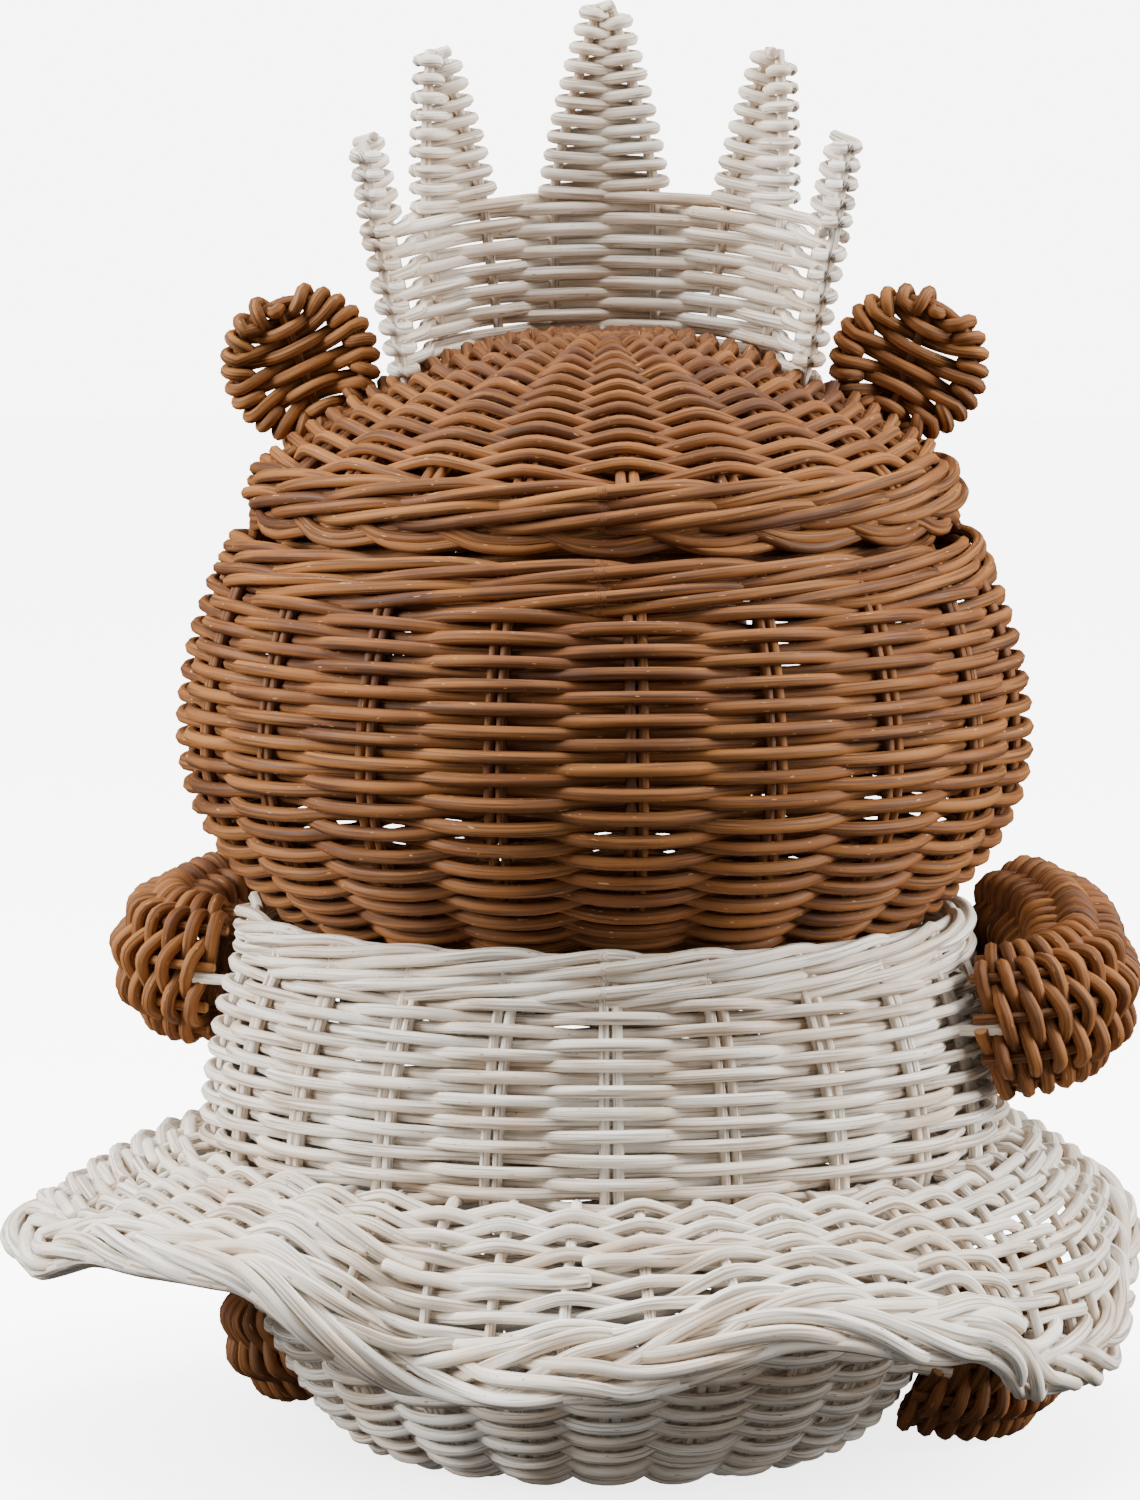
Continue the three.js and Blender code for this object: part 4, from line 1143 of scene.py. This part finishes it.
@dataclass
class Lid:
    """The domed lid: scalloped edge, twisted border, rows up to the apex, stakes and locating ring."""

    inset: float = 6.6
    rise: float = 57.7
    shoulder: float = 15.0
    centre_radius: float = 60.0
    stakes: int = 21
    border_row: float = 8.6  # the height of each of the border's two twisted rows
    stake_ends: tuple = (1.0, 20.0)  # from the wall's start and from its end at the apex
    ring_inset: float = 4.0
    # The scalloped edge's keys, from the border's foot, and where its two layers lie
    scallop: tuple = (
        (0.0, 2.0, -2.5), (0.25, -0.5, 1.0), (0.6, -5.6, 2.6), (0.95, -6.6, 2.2), (1.35, -4.0, 0.6),
        (1.8, -0.5, -1.2), (2.1, 1.0, -3.0),
    )
    layers: tuple = (0.6, -2.2)

    def __post_init__(self) -> None:
        """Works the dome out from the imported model: its height falls by the square of the radius."""
        low, high = span("lid_border")
        self.edge_bottom = span("lid_edge")[0][2]
        self.border_bottom = low[2]
        self.radius = high[0] - 1.0
        self.apex = span("lid_centre_weave")[1][2]
        foot = self.apex - self.rise
        out = np.linspace(self.radius - self.shoulder, 3.0, 60)
        dome = np.stack([out, foot + self.rise * (1 - (out / self.radius) ** 2)], 1)
        start = (self.radius, self.border_bottom - 1.0)
        shoulder = bezier(start, (self.radius + 2.0, foot + 1.0), tuple(dome[0]))
        self.wall = TurnedWall(np.concatenate([shoulder[:-1], dome]), self.inset)
        self.weave = Weave(self.wall, self.stakes, row=4.5, phase=math.radians(3.5), flatness=-0.9)

    def dome_height(self, radius: float) -> float:
        """The dome's outer height at a radius."""
        return self.apex - self.rise * (radius / self.radius) ** 2

    def build(self) -> None:
        """Weaves the dome, twists its border and rolls its edge."""
        wall, weave = self.wall, self.weave
        centre = wall.distance_out(self.centre_radius)
        border = self.piece("lid_twisted_border", "lid_border", 41, sides=8)
        for row in (0, 1):
            Twist(wall, self.border_row * (row + 0.5), 3, 7, 4.3, 3.9, core=2.2).sweep(border)
        start, end = self.stake_ends
        weave.pairs(border, start, wall.length - end)
        border.build()
        weave.rows(self.piece("lid_rows", "lid_weave", 42), 2 * self.border_row + 1.0, centre)
        weave.rows(self.piece("lid_centre_rows", "lid_centre_weave", 43), centre, wall.length - 1.0)
        self.edge_and_ring()

    def piece(self, name: str, node: str, seed: int, **settings) -> CanePiece:
        """One of the lid's pieces, still without canes."""
        return CanePiece(name, Body.LID, Slot.BROWN, [node], seed=seed, **settings)

    def edge_and_ring(self) -> None:
        """Rolls the scalloped edge, and sets twisted ropes on the locating ring and up to the dome."""
        under = 12.0  # how far the rim's wall starts under the edge
        heights = (self.edge_bottom - under, self.edge_bottom, self.border_bottom + 2.0)
        rim = TurnedWall(np.array([(self.radius - 1.0, height) for height in heights]), 6.5)
        edge = self.piece("lid_scalloped_edge", "lid_edge", 44, sides=8)
        top = under + self.border_bottom - self.edge_bottom
        for layer in self.layers:
            RolledBorder(rim, self.stakes, self.scallop, 2.4, self.weave.phase).sweep(edge, top + layer)
        low, high = span("lid_locating_ring")
        inset = self.ring_inset  # and how far the ring's wall starts under it
        heights = (low[2] - inset, low[2], high[2] + 14.0)
        ring = TurnedWall(np.array([(high[0], height) for height in heights]), inset)
        locating = self.piece("lid_locating_rope", "lid_locating_ring", 45, sides=8)
        for height in (3.2, 8.8):
            Twist(ring, inset + height, 3, 12, 1.5, 1.4, radius=1.7).sweep(locating)
        locating.build()
        for height in (14.4, 20.0):
            Twist(ring, inset + height, 3, 12, 1.8, 1.6, radius=2.0).sweep(edge)
        edge.build()


@dataclass
class FlatPlace(Surface):
    """A flat surface in a frame of its own: first across it, then up it, with a third axis out of it."""

    origin: Array
    across: Array
    up: Array

    def at(self, angle: Array, distance: Array) -> tuple[Array, Array]:
        """The origin plus a length across and a length up, and the axis out of the surface.

        Args:
            angle: lengths across the surface, in mm.
            distance: lengths up it, in mm.

        Returns:
            Points in rows, and unit outward directions in rows.
        """
        outward = np.cross(self.across, self.up)
        sideways, level = np.asarray(angle)[:, None], np.asarray(distance)[:, None]
        point = self.origin + sideways * self.across + level * self.up
        return point, np.broadcast_to(outward, point.shape)


class Side(Enum):
    """The bear's two sides: left is towards +X."""

    LEFT = 1
    RIGHT = -1

    def word(self) -> str:
        """The side as it stands in names."""
        return self.name.lower()


@dataclass
class Ear:
    """A disc ear: a hoop with two feet in the lid, a middle post, and one weaver laced over all three."""

    side: Side
    lid_top: float
    radius: float = 30.0
    spread_out: float = 122.0
    height: float = 65.0
    forward: float = 5.0
    lean: float = math.radians(20)
    leg_spacing: float = 8.0
    leg_length: float = 14.0
    passes: int = 12
    last_pass: float = math.radians(80)  # up the hoop from the disc's middle, and the first as far down
    slope: float = math.radians(6)  # of the passes, on top of the lean
    lacing_radius: float = 2.7
    lacing_swing: float = STAKE / 2 + 2.3

    def build(self) -> None:
        """Bends the hoop and laces the disc."""
        side = self.side.value
        up = np.array([side * math.sin(self.lean), 0.0, math.cos(self.lean)])
        across = np.array([-math.cos(self.lean), 0.0, side * math.sin(self.lean)])
        centre = np.array([side * self.spread_out, -self.forward, self.lid_top + self.height])
        place = FlatPlace(centre, across, up)
        outward = np.cross(across, up)
        middle = self.radius - SWING
        hoop = CanePiece(f"ear_{self.side.word()}_hoop_and_post", Body.LID, Slot.BROWN,
                         [f"ear_{self.side.word()}_hoop"], seed=51 + side)
        angle = TURN * np.arange(40) / 40
        ring = place.at(middle * np.sin(angle), middle * np.cos(angle))[0]
        hoop.sweep(ring, outward, STAKE / 2, closed=True)
        post = np.linspace(-middle, middle, 12)
        hoop.sweep(place.at(np.zeros(12), post)[0], outward, STAKE / 2)
        foot = np.linspace(-middle, -self.radius - self.leg_length, 8)
        for end in (-1, 1):
            hoop.sweep(place.at(np.full(8, end * self.leg_spacing), foot)[0], outward, STAKE / 2)
        hoop.build()
        # Tone at its light end: the lacing is painted lighter, a painted highlight that stands in for light
        # the lamps don't bring to the ears.
        disc = CanePiece(f"ear_{self.side.word()}_lacing", Body.LID, Slot.BROWN,
                         [f"ear_{self.side.word()}_weave"], seed=55 + side, tone=1.0)
        across, height, offset = self.lacing(middle, disc.rng)
        tilt = side * self.slope
        turned = across * math.cos(tilt) - height * math.sin(tilt)
        raised = across * math.sin(tilt) + height * math.cos(tilt)
        point, _ = place.at(turned, raised)
        disc.sweep(point + outward * offset[:, None], outward, self.lacing_radius)
        disc.build()

    def lacing(self, middle: float, rng: np.random.Generator) -> tuple[Array, Array, Array]:
        """The line of the weaver over the hoop and its post.

        It passes from one side of the hoop to the other, in front of the hoop and behind the post or the
        other way round, and at each end it winds one and a half times round the hoop. The ends are spread
        evenly along the hoop and the middles evenly up the post.

        Args:
            middle: the radius of the hoop's middle line.
            rng: the seeded source of chance.

        Returns:
            Lengths across the disc, up it and out of it.
        """
        swing, wound = self.lacing_swing, 3 * math.pi
        share = np.linspace(-1, 1, self.passes)
        ends = self.last_pass * (0.7 * share + 0.3 * np.arcsin(share) / (math.pi / 2))
        slip = 0.2 * (ends[1] - ends[0])
        across, height, offset = [], [], []
        for number, (end, middle_share) in enumerate(zip(ends, share)):
            sign = 1 if number % 2 else -1
            step = np.linspace(-1, 1, 18)
            turn = end - slip * step
            level = middle * np.sin(turn)
            centre = 0.9 * middle * middle_share + 0.5 * rng.uniform(-1, 1)
            across.append(sign * step * middle * np.cos(turn))
            height.append(level + (centre - level) * np.cos(step * math.pi / 2))
            offset.append(sign * -swing * np.cos(math.pi * (step + 1)))
            if number == self.passes - 1:
                continue
            bend = np.linspace(0, wound, 25)[1:-1]
            turn = np.interp(bend, (0, wound), (end - slip, ends[number + 1] + slip))
            out = middle + swing * np.sin(bend)
            across.append(sign * out * np.cos(turn))
            height.append(out * np.sin(turn))
            offset.append(-sign * swing * np.cos(bend))
        return np.concatenate(across), np.concatenate(height), np.concatenate(offset)


@dataclass
class CrownBand(Surface):
    """The crown's half ring: a cone in a frame that stands on the lid, tilted forward.

    Lengths across it run from its middle towards the bear's left, measured at the ring's foot.
    """

    foot: Array
    radius: float = 80.0
    flare: float = 10.0
    height: float = 54.0
    tilt: float = math.radians(9)

    def local(self, azimuth: Array, height: Array) -> Array:
        """Points in the crown's own frame."""
        radius = self.radius + self.flare * height / self.height
        return np.stack([np.sin(azimuth) * radius, -np.cos(azimuth) * radius, height + 0 * azimuth], -1)

    def turned(self, vectors: Array) -> Array:
        """Directions of the crown's own frame in the basket's: tilted about X.

        Args:
            vectors: directions in the crown's frame, in rows.

        Returns:
            The same in the basket's frame.
        """
        cos, sin = math.cos(-self.tilt), math.sin(-self.tilt)
        turn = np.array([[1, 0, 0], [0, cos, -sin], [0, sin, cos]])
        return vectors @ turn.T

    def at(self, angle: Array, distance: Array) -> tuple[Array, Array]:
        """Points and the directions out of the cone.

        Args:
            angle: lengths across the band, in mm.
            distance: heights above the ring's foot.

        Returns:
            Points in rows, and unit outward directions in rows.
        """
        azimuth = np.asarray(angle) / self.radius
        lean = self.flare / self.height
        outward = unit(np.stack([np.sin(azimuth), -np.cos(azimuth), np.full(azimuth.shape, -lean)], -1))
        return self.foot + self.turned(self.local(azimuth, np.asarray(distance))), self.turned(outward)

    def plane(self, azimuth: float) -> FlatPlace:
        """The flat surface that a spike stands in, on the band's top.

        Args:
            azimuth: the spike's, from the crown's middle, in radians.

        Returns:
            The surface.
        """
        angle = np.array([azimuth])
        top = self.local(angle, np.array([self.height]))[0]
        up = unit(top - self.local(angle, np.array([0.0]))[0])
        outward = np.array([math.sin(azimuth), -math.cos(azimuth), 0.0])
        outward = unit(outward - outward @ up * up)
        across = np.cross(up, outward)
        return FlatPlace(self.foot + self.turned(top), self.turned(across), self.turned(up))


@dataclass(frozen=True)
class Spike:
    """One of the crown's spikes: two stakes that are bent from the band to a tip."""

    name: str
    azimuth: float  # from the crown's middle towards the bear's left, in degrees
    width: float
    height: float
    tip: float = 2.4  # how far the stakes stand from the spike's middle there

    def half(self) -> float:
        """How far the stakes stand from the spike's middle at its foot."""
        return self.width / 2 - STAKE

    def stand(self, level: Array) -> Array:
        """How far the stakes stand from the middle: it falls from half to tip by a power of the height."""
        share = np.clip(np.asarray(level, float) / self.height, 0, 1)
        return self.half() * (1 - share**1.25) + self.tip * share


@dataclass
class Crown:
    """The white half-ring crown: a woven band, five laced spikes on bent stakes, and pegs into the lid."""

    lid: Lid
    set_back: float = 30.0
    row: float = 4.25
    spikes: tuple = (
        Spike("far_left", 78, 30, 38),
        Spike("left", 42, 39, 65),
        Spike("middle", 0, 50, 78),
        Spike("right", -42, 39, 65),
        Spike("far_right", -78, 30, 38),
    )
    # Each peg's name, azimuth in degrees and top above the crown's foot, and what all of them share
    pegs: tuple = (("left", 85, 12.0), ("middle", 0, 3.0), ("right", -85, 12.0))
    peg_depth: float = 10.0
    peg_taper: tuple[float, float] = (1.6, 2.9)  # its radius from its buried end to its top

    def build(self) -> None:
        """Laces the band and the spikes, and sets the stakes and pegs."""
        dome = self.lid.dome_height(math.hypot(CrownBand.radius, self.set_back))
        band = CrownBand(np.array([0.0, self.set_back, dome]))
        places = []
        for spike in self.spikes:
            azimuth = math.radians(spike.azimuth)
            places += [azimuth * band.radius + end * spike.half() for end in (-1, 1)]
            self.spike(spike, band.plane(azimuth))
        posts = np.sort(np.array(places))
        piece = CanePiece("crown_band_rows", Body.LID, Slot.WHITE, ["crown_band"], seed=61, tone=0.15)
        laced(piece, band, lambda level: posts, -2.0, band.height + 2.0, self.row, 4.3, 2.65, samples=8)
        piece.build()
        nodes = [f"crown_peg_{name}" for name, _, _ in self.pegs]
        pegs = CanePiece("crown_pegs", Body.LID, Slot.WHITE, nodes, seed=62)
        radius = np.linspace(*self.peg_taper, 6)
        for _, azimuth, top in self.pegs:
            height = np.linspace(-self.peg_depth, top, len(radius))
            point, outward = band.at(math.radians(azimuth) * band.radius + 0 * height, height)
            pegs.sweep(point, outward, radius)
        pegs.build()

    def spike(self, spike: Spike, plane: FlatPlace) -> None:
        """Bends a spike's two stakes to its tip and laces them.

        Args:
            spike: the spike's sizes.
            plane: the flat surface that it stands in.
        """
        stakes = CanePiece(f"crown_side_stakes_{spike.name}", Body.LID, Slot.WHITE,
                           [f"crown_stake_{spike.name}"], seed=63, tone=0.3)
        height = np.linspace(-50.0, spike.height - 0.5, 24)
        for end in (-1, 1):
            point, outward = plane.at(end * spike.stand(height), height)
            stakes.sweep(point, outward, STAKE / 2)
        stakes.build()
        lacing = CanePiece(f"crown_lacing_{spike.name}", Body.LID, Slot.WHITE,
                           [f"crown_spike_{spike.name}"], seed=64, tone=0.3)
        laced(lacing, plane, lambda level: np.array([-1, 1]) * float(spike.stand(level)), 0.5,
              spike.height + 1.5, 3.6, 4.2, radius=2.55, samples=9)
        lacing.build()


@dataclass
class Limb(Surface):
    """A woven tube limb: a stub out of the wall, a tight elbow forward and a long gentle bend inward.

    Its section is an ellipse that closes over the far end as a half ellipsoid. Distances run along the middle
    line, and over the end along the ellipsoid's quarter arc.
    """

    name: str
    side: Side
    shape: BasketShape
    height: float
    width: float
    start: float
    forward: float
    stub: float
    elbow: float
    turn: float
    bend: float
    reach: float
    lift: float
    root_height: float
    rise: float
    pegs: tuple
    yaw: float = math.radians(16)
    stakes: int = 9
    inset: float = 7.0
    row: float = 4.0
    standoff: float = 3.0
    cap_stretch: float = 1.15  # the far end's arc against a round one's
    peg_span: tuple[float, float] = (-13.0, 9.0)  # from inside the basket to the limb's outside
    peg_taper: tuple[float, float] = (1.9, 2.7)

    def __post_init__(self) -> None:
        """Samples the middle line, then finds how far the mouth stands off the wall all round."""
        self.fitted_end = self.stub + self.elbow * self.turn
        self.straight = self.fitted_end + self.reach
        self.cap = self.width / 2 - self.inset
        self.cap_arc = self.cap * math.pi / 2 * self.cap_stretch
        self.travel = np.linspace(-20.0, self.straight + self.width, LINE_SAMPLES)
        self.line_points = self.centre(self.travel)
        self.tangents = unit(np.gradient(self.line_points, axis=0))
        self.mouth_angles = np.linspace(0, TURN, MOUTH_ANGLES)
        tries = np.linspace(-15.0, self.fitted_end, MOUTH_TRIES)
        angle, distance = (each.ravel() for each in np.meshgrid(self.mouth_angles, tries, indexing="ij"))
        point = self.plain(angle, distance)[0]
        out = np.hypot(point[:, 0], point[:, 1]) - self.shape.wall.radius_at(point[:, 2])
        clear = (out > self.standoff + WEAVER / 2).reshape(MOUTH_ANGLES, MOUTH_TRIES)
        self.mouth = tries[np.argmax(clear, axis=1)]

    def centre(self, distance: Array) -> Array:
        """Points of the middle line.

        Each stretch has an even curvature, so its chord is 2 / curvature times the sine of half its turn, in
        the direction of its middle.

        Args:
            distance: distances along the line, in mm.

        Returns:
            Points in rows.
        """
        out = np.full(distance.shape, self.start)
        ahead = np.full(distance.shape, self.forward)
        heading = np.zeros(distance.shape)
        left = distance.copy()
        stretches = ((self.stub, 0.0), (self.elbow * self.turn, 1 / self.elbow), (self.reach, 1 / self.bend))
        for number, (length, curvature) in enumerate(stretches):
            step = left if number == 2 else np.minimum(left, length)
            step = step if number == 0 else np.maximum(step, 0)
            half = step * curvature / 2
            chord = step * np.sinc(half / math.pi)
            out = out + chord * np.cos(heading + half)
            ahead = ahead + chord * np.sin(heading + half)
            heading = heading + 2 * half
            left = left - step
        share = np.clip(distance / self.straight, 0, 1)
        share = share**2 * (3 - 2 * share)
        settling = (1 - np.clip(distance / (3 * self.stub), 0, 1)) ** 2
        side = self.side.value
        return np.stack([
            side * out * math.cos(self.yaw) - ahead * math.sin(self.yaw),
            -side * out * math.sin(self.yaw) - ahead * math.cos(self.yaw),
            self.root_height + self.rise * share + self.lift * settling,
        ], -1)

    def plain(self, angle: Array, distance: Array) -> tuple[Array, Array]:
        """Points and outward directions of the tube before its mouth is fitted to the wall.

        Args:
            angle: angles round the tube, in radians.
            distance: distances along it, in mm.

        Returns:
            Points in rows, and unit outward directions in rows.
        """
        over = np.clip((distance - self.straight) / self.cap_arc, 0, 1) * math.pi / 2
        along = np.minimum(distance, self.straight) + self.cap * np.sin(over)
        origin = between(along, self.travel, self.line_points)
        tangent = unit(between(along, self.travel, self.tangents))
        across = unit(np.cross(tangent, [0.0, 0.0, 1.0]))
        up = np.cross(across, tangent)
        wide, high = self.width / 2 - self.inset, self.height / 2 - self.inset
        shrink = np.cos(over)
        side, rise = np.sin(angle), np.cos(angle)
        point = origin + (shrink * wide * side)[:, None] * across + (shrink * high * rise)[:, None] * up
        outward = unit(
            (shrink * side / wide)[:, None] * across + (shrink * rise / high)[:, None] * up
            + (np.sin(over) / self.cap)[:, None] * tangent)
        return point, outward

    def at(self, angle: Array, distance: Array) -> tuple[Array, Array]:
        """Points and outward directions, with the first rows slanted along the wall.

        Args:
            angle: angles round the tube, in radians.
            distance: distances along it, in mm.

        Returns:
            Points in rows, and unit outward directions in rows.
        """
        mouth = np.interp(np.mod(angle, TURN), self.mouth_angles, self.mouth)
        share = 1 - np.clip(distance / self.fitted_end, 0, 1)
        return self.plain(angle, distance + mouth * share)

    def build(self) -> None:
        """Weaves the tube on its stakes and sets its pegs."""
        weave = Weave(self, self.stakes, self.row, 4.4, radius=2.95, flatness=-0.93, wander=0.35)
        tube = CanePiece(f"{self.name}_rows_and_stakes", Body.BASKET, Slot.BROWN, [self.name], seed=71,
                         tone=0.45)
        weave.weaver(tube, 1.0, self.straight + self.cap_arc - 0.5)
        weave.pairs(tube, -1.0, self.straight + self.cap_arc * 0.8, count=60, paired=False)
        tube.build()
        names = [f"{self.name}_peg_{number + 1}" for number in range(len(self.pegs))]
        pegs = CanePiece(f"{self.name}_pegs", Body.BASKET, Slot.WHITE, names, seed=72)
        for degrees in self.pegs:
            angle = np.array([math.radians(degrees)])
            origin, _ = self.at(angle, np.array([0.0]))
            tangent = unit(self.at(angle, np.array([4.0]))[0] - origin)[0]
            step, radius = np.linspace(*self.peg_span, 8)[:, None], np.linspace(*self.peg_taper, 8)
            pegs.sweep(origin + step * tangent, np.array([0.0, 0.0, 1.0]), radius)
        pegs.build()


def turned_button(name: str, body: Body, replaced: str, place: Array, radius: float,
                  depth: float) -> None:
    """A domed wooden button: a profile turned about its own Z axis and set in place.

    Args:
        name: the piece's name.
        body: the body that it rides on.
        replaced: the node that it stands for.
        place: the matrix of its frame.
        radius: its radius in mm.
        depth: its height in mm.
    """
    rounding = np.linspace(0, math.pi / 2, 14)
    edge = np.stack([radius * np.cos(rounding), depth * (0.35 + 0.65 * np.sin(rounding))], 1)[:-1]
    profile = np.concatenate([[[0.6 * radius, 0.0], [radius * 0.97, 0.0], [radius, 0.2 * depth]], edge])
    sides = 48
    around = TURN * np.arange(sides) / sides
    out, up = profile.T[:, :, None]
    ring = np.stack([out * np.cos(around), out * np.sin(around), up + 0 * around], -1).reshape(-1, 3)
    points = np.concatenate([ring, [[0, 0, 0], [0, 0, depth]]])
    row = np.arange(len(profile) - 1)[:, None] * sides
    here, beside = np.arange(sides), (np.arange(sides) + 1) % sides
    quads = np.stack([row + here, row + beside, row + sides + beside, row + sides + here], -1).reshape(-1, 4)
    back = np.stack([beside, here, np.full(sides, len(ring))], 1)
    last = (len(profile) - 1) * sides
    front = np.stack([last + here, last + beside, np.full(sides, len(ring) + 1)], 1)
    points = points @ place[:3, :3].T + place[:3, 3]
    piece = mesh_object(name, points, [quads, back, front], Slot.DARK)
    settle(piece, body, [replaced])


@dataclass
class Face:
    """The plain face on the side that looks forward: a woven muzzle, a nose and two eyes."""

    head: HeadShape
    muzzle_radius: float = 46.0
    muzzle_depth: float = 34.0
    muzzle_height: float = 94.0
    nose_radius: float = 15.0
    nose_depth: float = 11.0
    eye_radius: float = 11.0
    eye_depth: float = 7.0
    eye_height: float = 134.0
    eye_azimuth: float = 17.0
    clearance: float = 0.3

    def place(self, azimuth: float, height: float, standoff: float) -> Array:
        """The frame of something that stands on the head's wall, with Z straight out of it.

        Args:
            azimuth: from straight forward towards the bear's left, in degrees.
            height: above the head's bottom, in mm.
            standoff: how far off the wall its origin is.

        Returns:
            A 4 by 4 matrix.
        """
        outline = self.head.side
        level = self.head.bottom + height
        radius = np.interp(level, outline[:, 1], outline[:, 0])
        along = unit(between(level, outline[:, 1], unit(np.gradient(outline, axis=0))))
        angle = math.radians(azimuth)
        forward = np.array([math.sin(angle), -math.cos(angle), 0.0])
        out = forward * along[1] + np.array([0.0, 0.0, -along[0]])
        side = unit(np.cross([0.0, 0.0, 1.0], out))
        made = np.eye(4)
        made[:3, :3] = np.stack([side, np.cross(out, side), out], 1)
        made[:3, 3] = forward * radius + np.array([0.0, 0.0, level]) + out * standoff
        return made

    def build(self) -> None:
        """Weaves the muzzle and sets the nose and the eyes."""
        across = np.linspace(0, math.pi / 2, 40)
        start = np.array([[self.muzzle_radius, -6.0]])
        dome = np.stack([self.muzzle_radius * np.cos(across), self.muzzle_depth * np.sin(across)], 1)[:-2]
        wall = TurnedWall(np.concatenate([start, dome]), 6.0, place=self.place(0, self.muzzle_height, 0))
        weave = Weave(wall, 11, row=4.4, swing=3.4)
        piece = CanePiece("muzzle_rows_and_stakes", Body.HEAD, Slot.BROWN, ["muzzle"], seed=81)
        weave.weaver(piece, 3.0, wall.length - 1.0)
        weave.pairs(piece, 1.0, wall.length - 8.0, count=20, paired=False)
        Twist(wall, 2.0, 3, 4, 2.6, 1.6, samples=18).sweep(piece)
        piece.build()
        nose = self.place(0, self.muzzle_height, self.muzzle_depth + self.clearance)
        turned_button("turned_nose", Body.HEAD, "nose", nose, self.nose_radius, self.nose_depth)
        for side in Side:
            eye = self.place(side.value * self.eye_azimuth, self.eye_height, self.clearance)
            turned_button(f"turned_eye_{side.word()}", Body.HEAD, f"eye_{side.word()}", eye,
                          self.eye_radius, self.eye_depth)


@dataclass
class Studio:
    """The camera at the photograph's viewing angle, a pale floor and backdrop, and soft light."""

    camera_place: tuple = (0.014, 2.830, 0.603)
    pitch: float = 6.475  # degrees below level
    focal: float = 169.8  # mm on a 36 mm long side
    paper: tuple = (3.0, -6.2, 3.2)  # half its width, where the backdrop stands and its height, in metres
    floor: tuple = (7.4, 0.5)  # its glow, and the share of it left near the basket's foot as a painted contact shadow
    backdrop: tuple = (7.5, 1.0)
    world: float = 0.12
    aim: tuple = (0.0, 0.0, 0.28)  # of all lamps
    # Each lamp's name, place, side and power, in metres and watts
    lamps: tuple = (
        ("left", (2.35, 0.45, 1.3), 1.4, 158),
        ("right", (-2.35, 0.38, 1.2), 1.4, 140),
        ("top", (0.0, 0.3, 2.5), 1.6, 88),
        ("low", (0.0, 1.0, 0.05), 0.8, 1.6),
    )

    def build(self) -> None:
        """Sets up the camera, the paper and the lights."""
        scene = bpy.context.scene
        lens = bpy.data.cameras.new("camera")
        lens.lens, lens.sensor_width, lens.sensor_fit = self.focal, 36.0, "AUTO"
        lens.clip_start, lens.clip_end = 0.1, 50.0
        camera = bpy.data.objects.new("camera", lens)
        camera.location = self.camera_place
        camera.rotation_euler = (math.radians(90 - self.pitch), 0, math.pi)
        scene.collection.objects.link(camera)
        scene.camera = camera
        half, back, height = self.paper
        seam = [(-half, back, 0), (half, back, 0)]
        self.sheet("floor", [*seam, (half, half, 0), (-half, half, 0)], *self.floor)
        self.sheet("backdrop", [*seam, (half, back, height), (-half, back, height)], *self.backdrop)
        world = bpy.data.worlds.new("studio")
        world.use_nodes = True
        sky = world.node_tree.nodes["Background"].inputs
        sky["Color"].default_value, sky["Strength"].default_value = (1.0, 1.0, 1.0, 1.0), self.world
        scene.world = world
        for lamp in self.lamps:
            self.softbox(*lamp)

    def sheet(self, name: str, corners: list[tuple], glow: float, painted_shadow_share: float) -> None:
        """A flat sheet of paper that throws no light back on the basket.

        Args:
            name: its name.
            corners: its corners in metres.
            glow: the strength of the light that comes through it.
            painted_shadow_share: the share of that light that is left near the basket's foot, as a painted
                contact shadow.
        """
        mesh = bpy.data.meshes.new(name)
        mesh.from_pydata(corners, [], [(0, 1, 2, 3)])
        mesh.materials.append(StudioPaper(f"{name}_paper", glow, painted_shadow_share).material())
        made = bpy.data.objects.new(name, mesh)
        made.visible_diffuse = made.visible_glossy = made.visible_transmission = False
        bpy.context.scene.collection.objects.link(made)

    def softbox(self, name: str, place: tuple, size: float, power: float) -> None:
        """A square area light that faces the basket.

        Args:
            name: its name.
            place: where it stands, in metres.
            size: its side, in metres.
            power: in watts.
        """
        lamp = bpy.data.lights.new(name, "AREA")
        lamp.shape, lamp.size, lamp.energy = "SQUARE", size, power
        holder = bpy.data.objects.new(name, lamp)
        holder.location = place
        ahead = Vector(self.aim) - Vector(place)
        holder.rotation_euler = ahead.to_track_quat("-Z", "Y").to_euler()
        holder.visible_camera = False
        bpy.context.scene.collection.objects.link(holder)


def limbs(shape: BasketShape) -> list[Limb]:
    """The two arms and the two legs.

    Args:
        shape: the basket's wall, which their mouths stand off.

    Returns:
        The limbs.
    """
    arm = dict(height=64, width=54, start=147, forward=-8, stub=14, elbow=28, turn=math.radians(105),
               bend=140, reach=68, lift=0, shape=shape)
    leg = dict(height=62, width=56, start=106, forward=22, stub=16, elbow=30, turn=math.radians(93),
               bend=500, reach=108, lift=14, root_height=31.5, rise=0, shape=shape)
    return [
        Limb("arm_left", Side.LEFT, root_height=186, rise=15, pegs=(55, 125, 270), **arm),
        Limb("arm_right", Side.RIGHT, root_height=178, rise=24, pegs=(-55, -125, 90), **arm),
        Limb("leg_left", Side.LEFT, pegs=(50, 270), **leg),
        Limb("leg_right", Side.RIGHT, pegs=(-50, 90), **leg),
    ]


def main() -> None:
    """Builds the studio and every sub-assembly in order."""
    logging.basicConfig(level=logging.INFO, format="%(message)s")
    Studio().build()
    basket = BasketShape()
    basket.bowl().build()
    Skirt(basket).build()
    for limb in limbs(basket):
        limb.build()
    head = HeadShape()
    head.bowl().build()
    Face(head).build()
    lid = Lid()
    lid.build()
    for side in Side:
        Ear(side, head.top).build()
    Crown(lid).build()


if __name__ == "__main__":
    main()
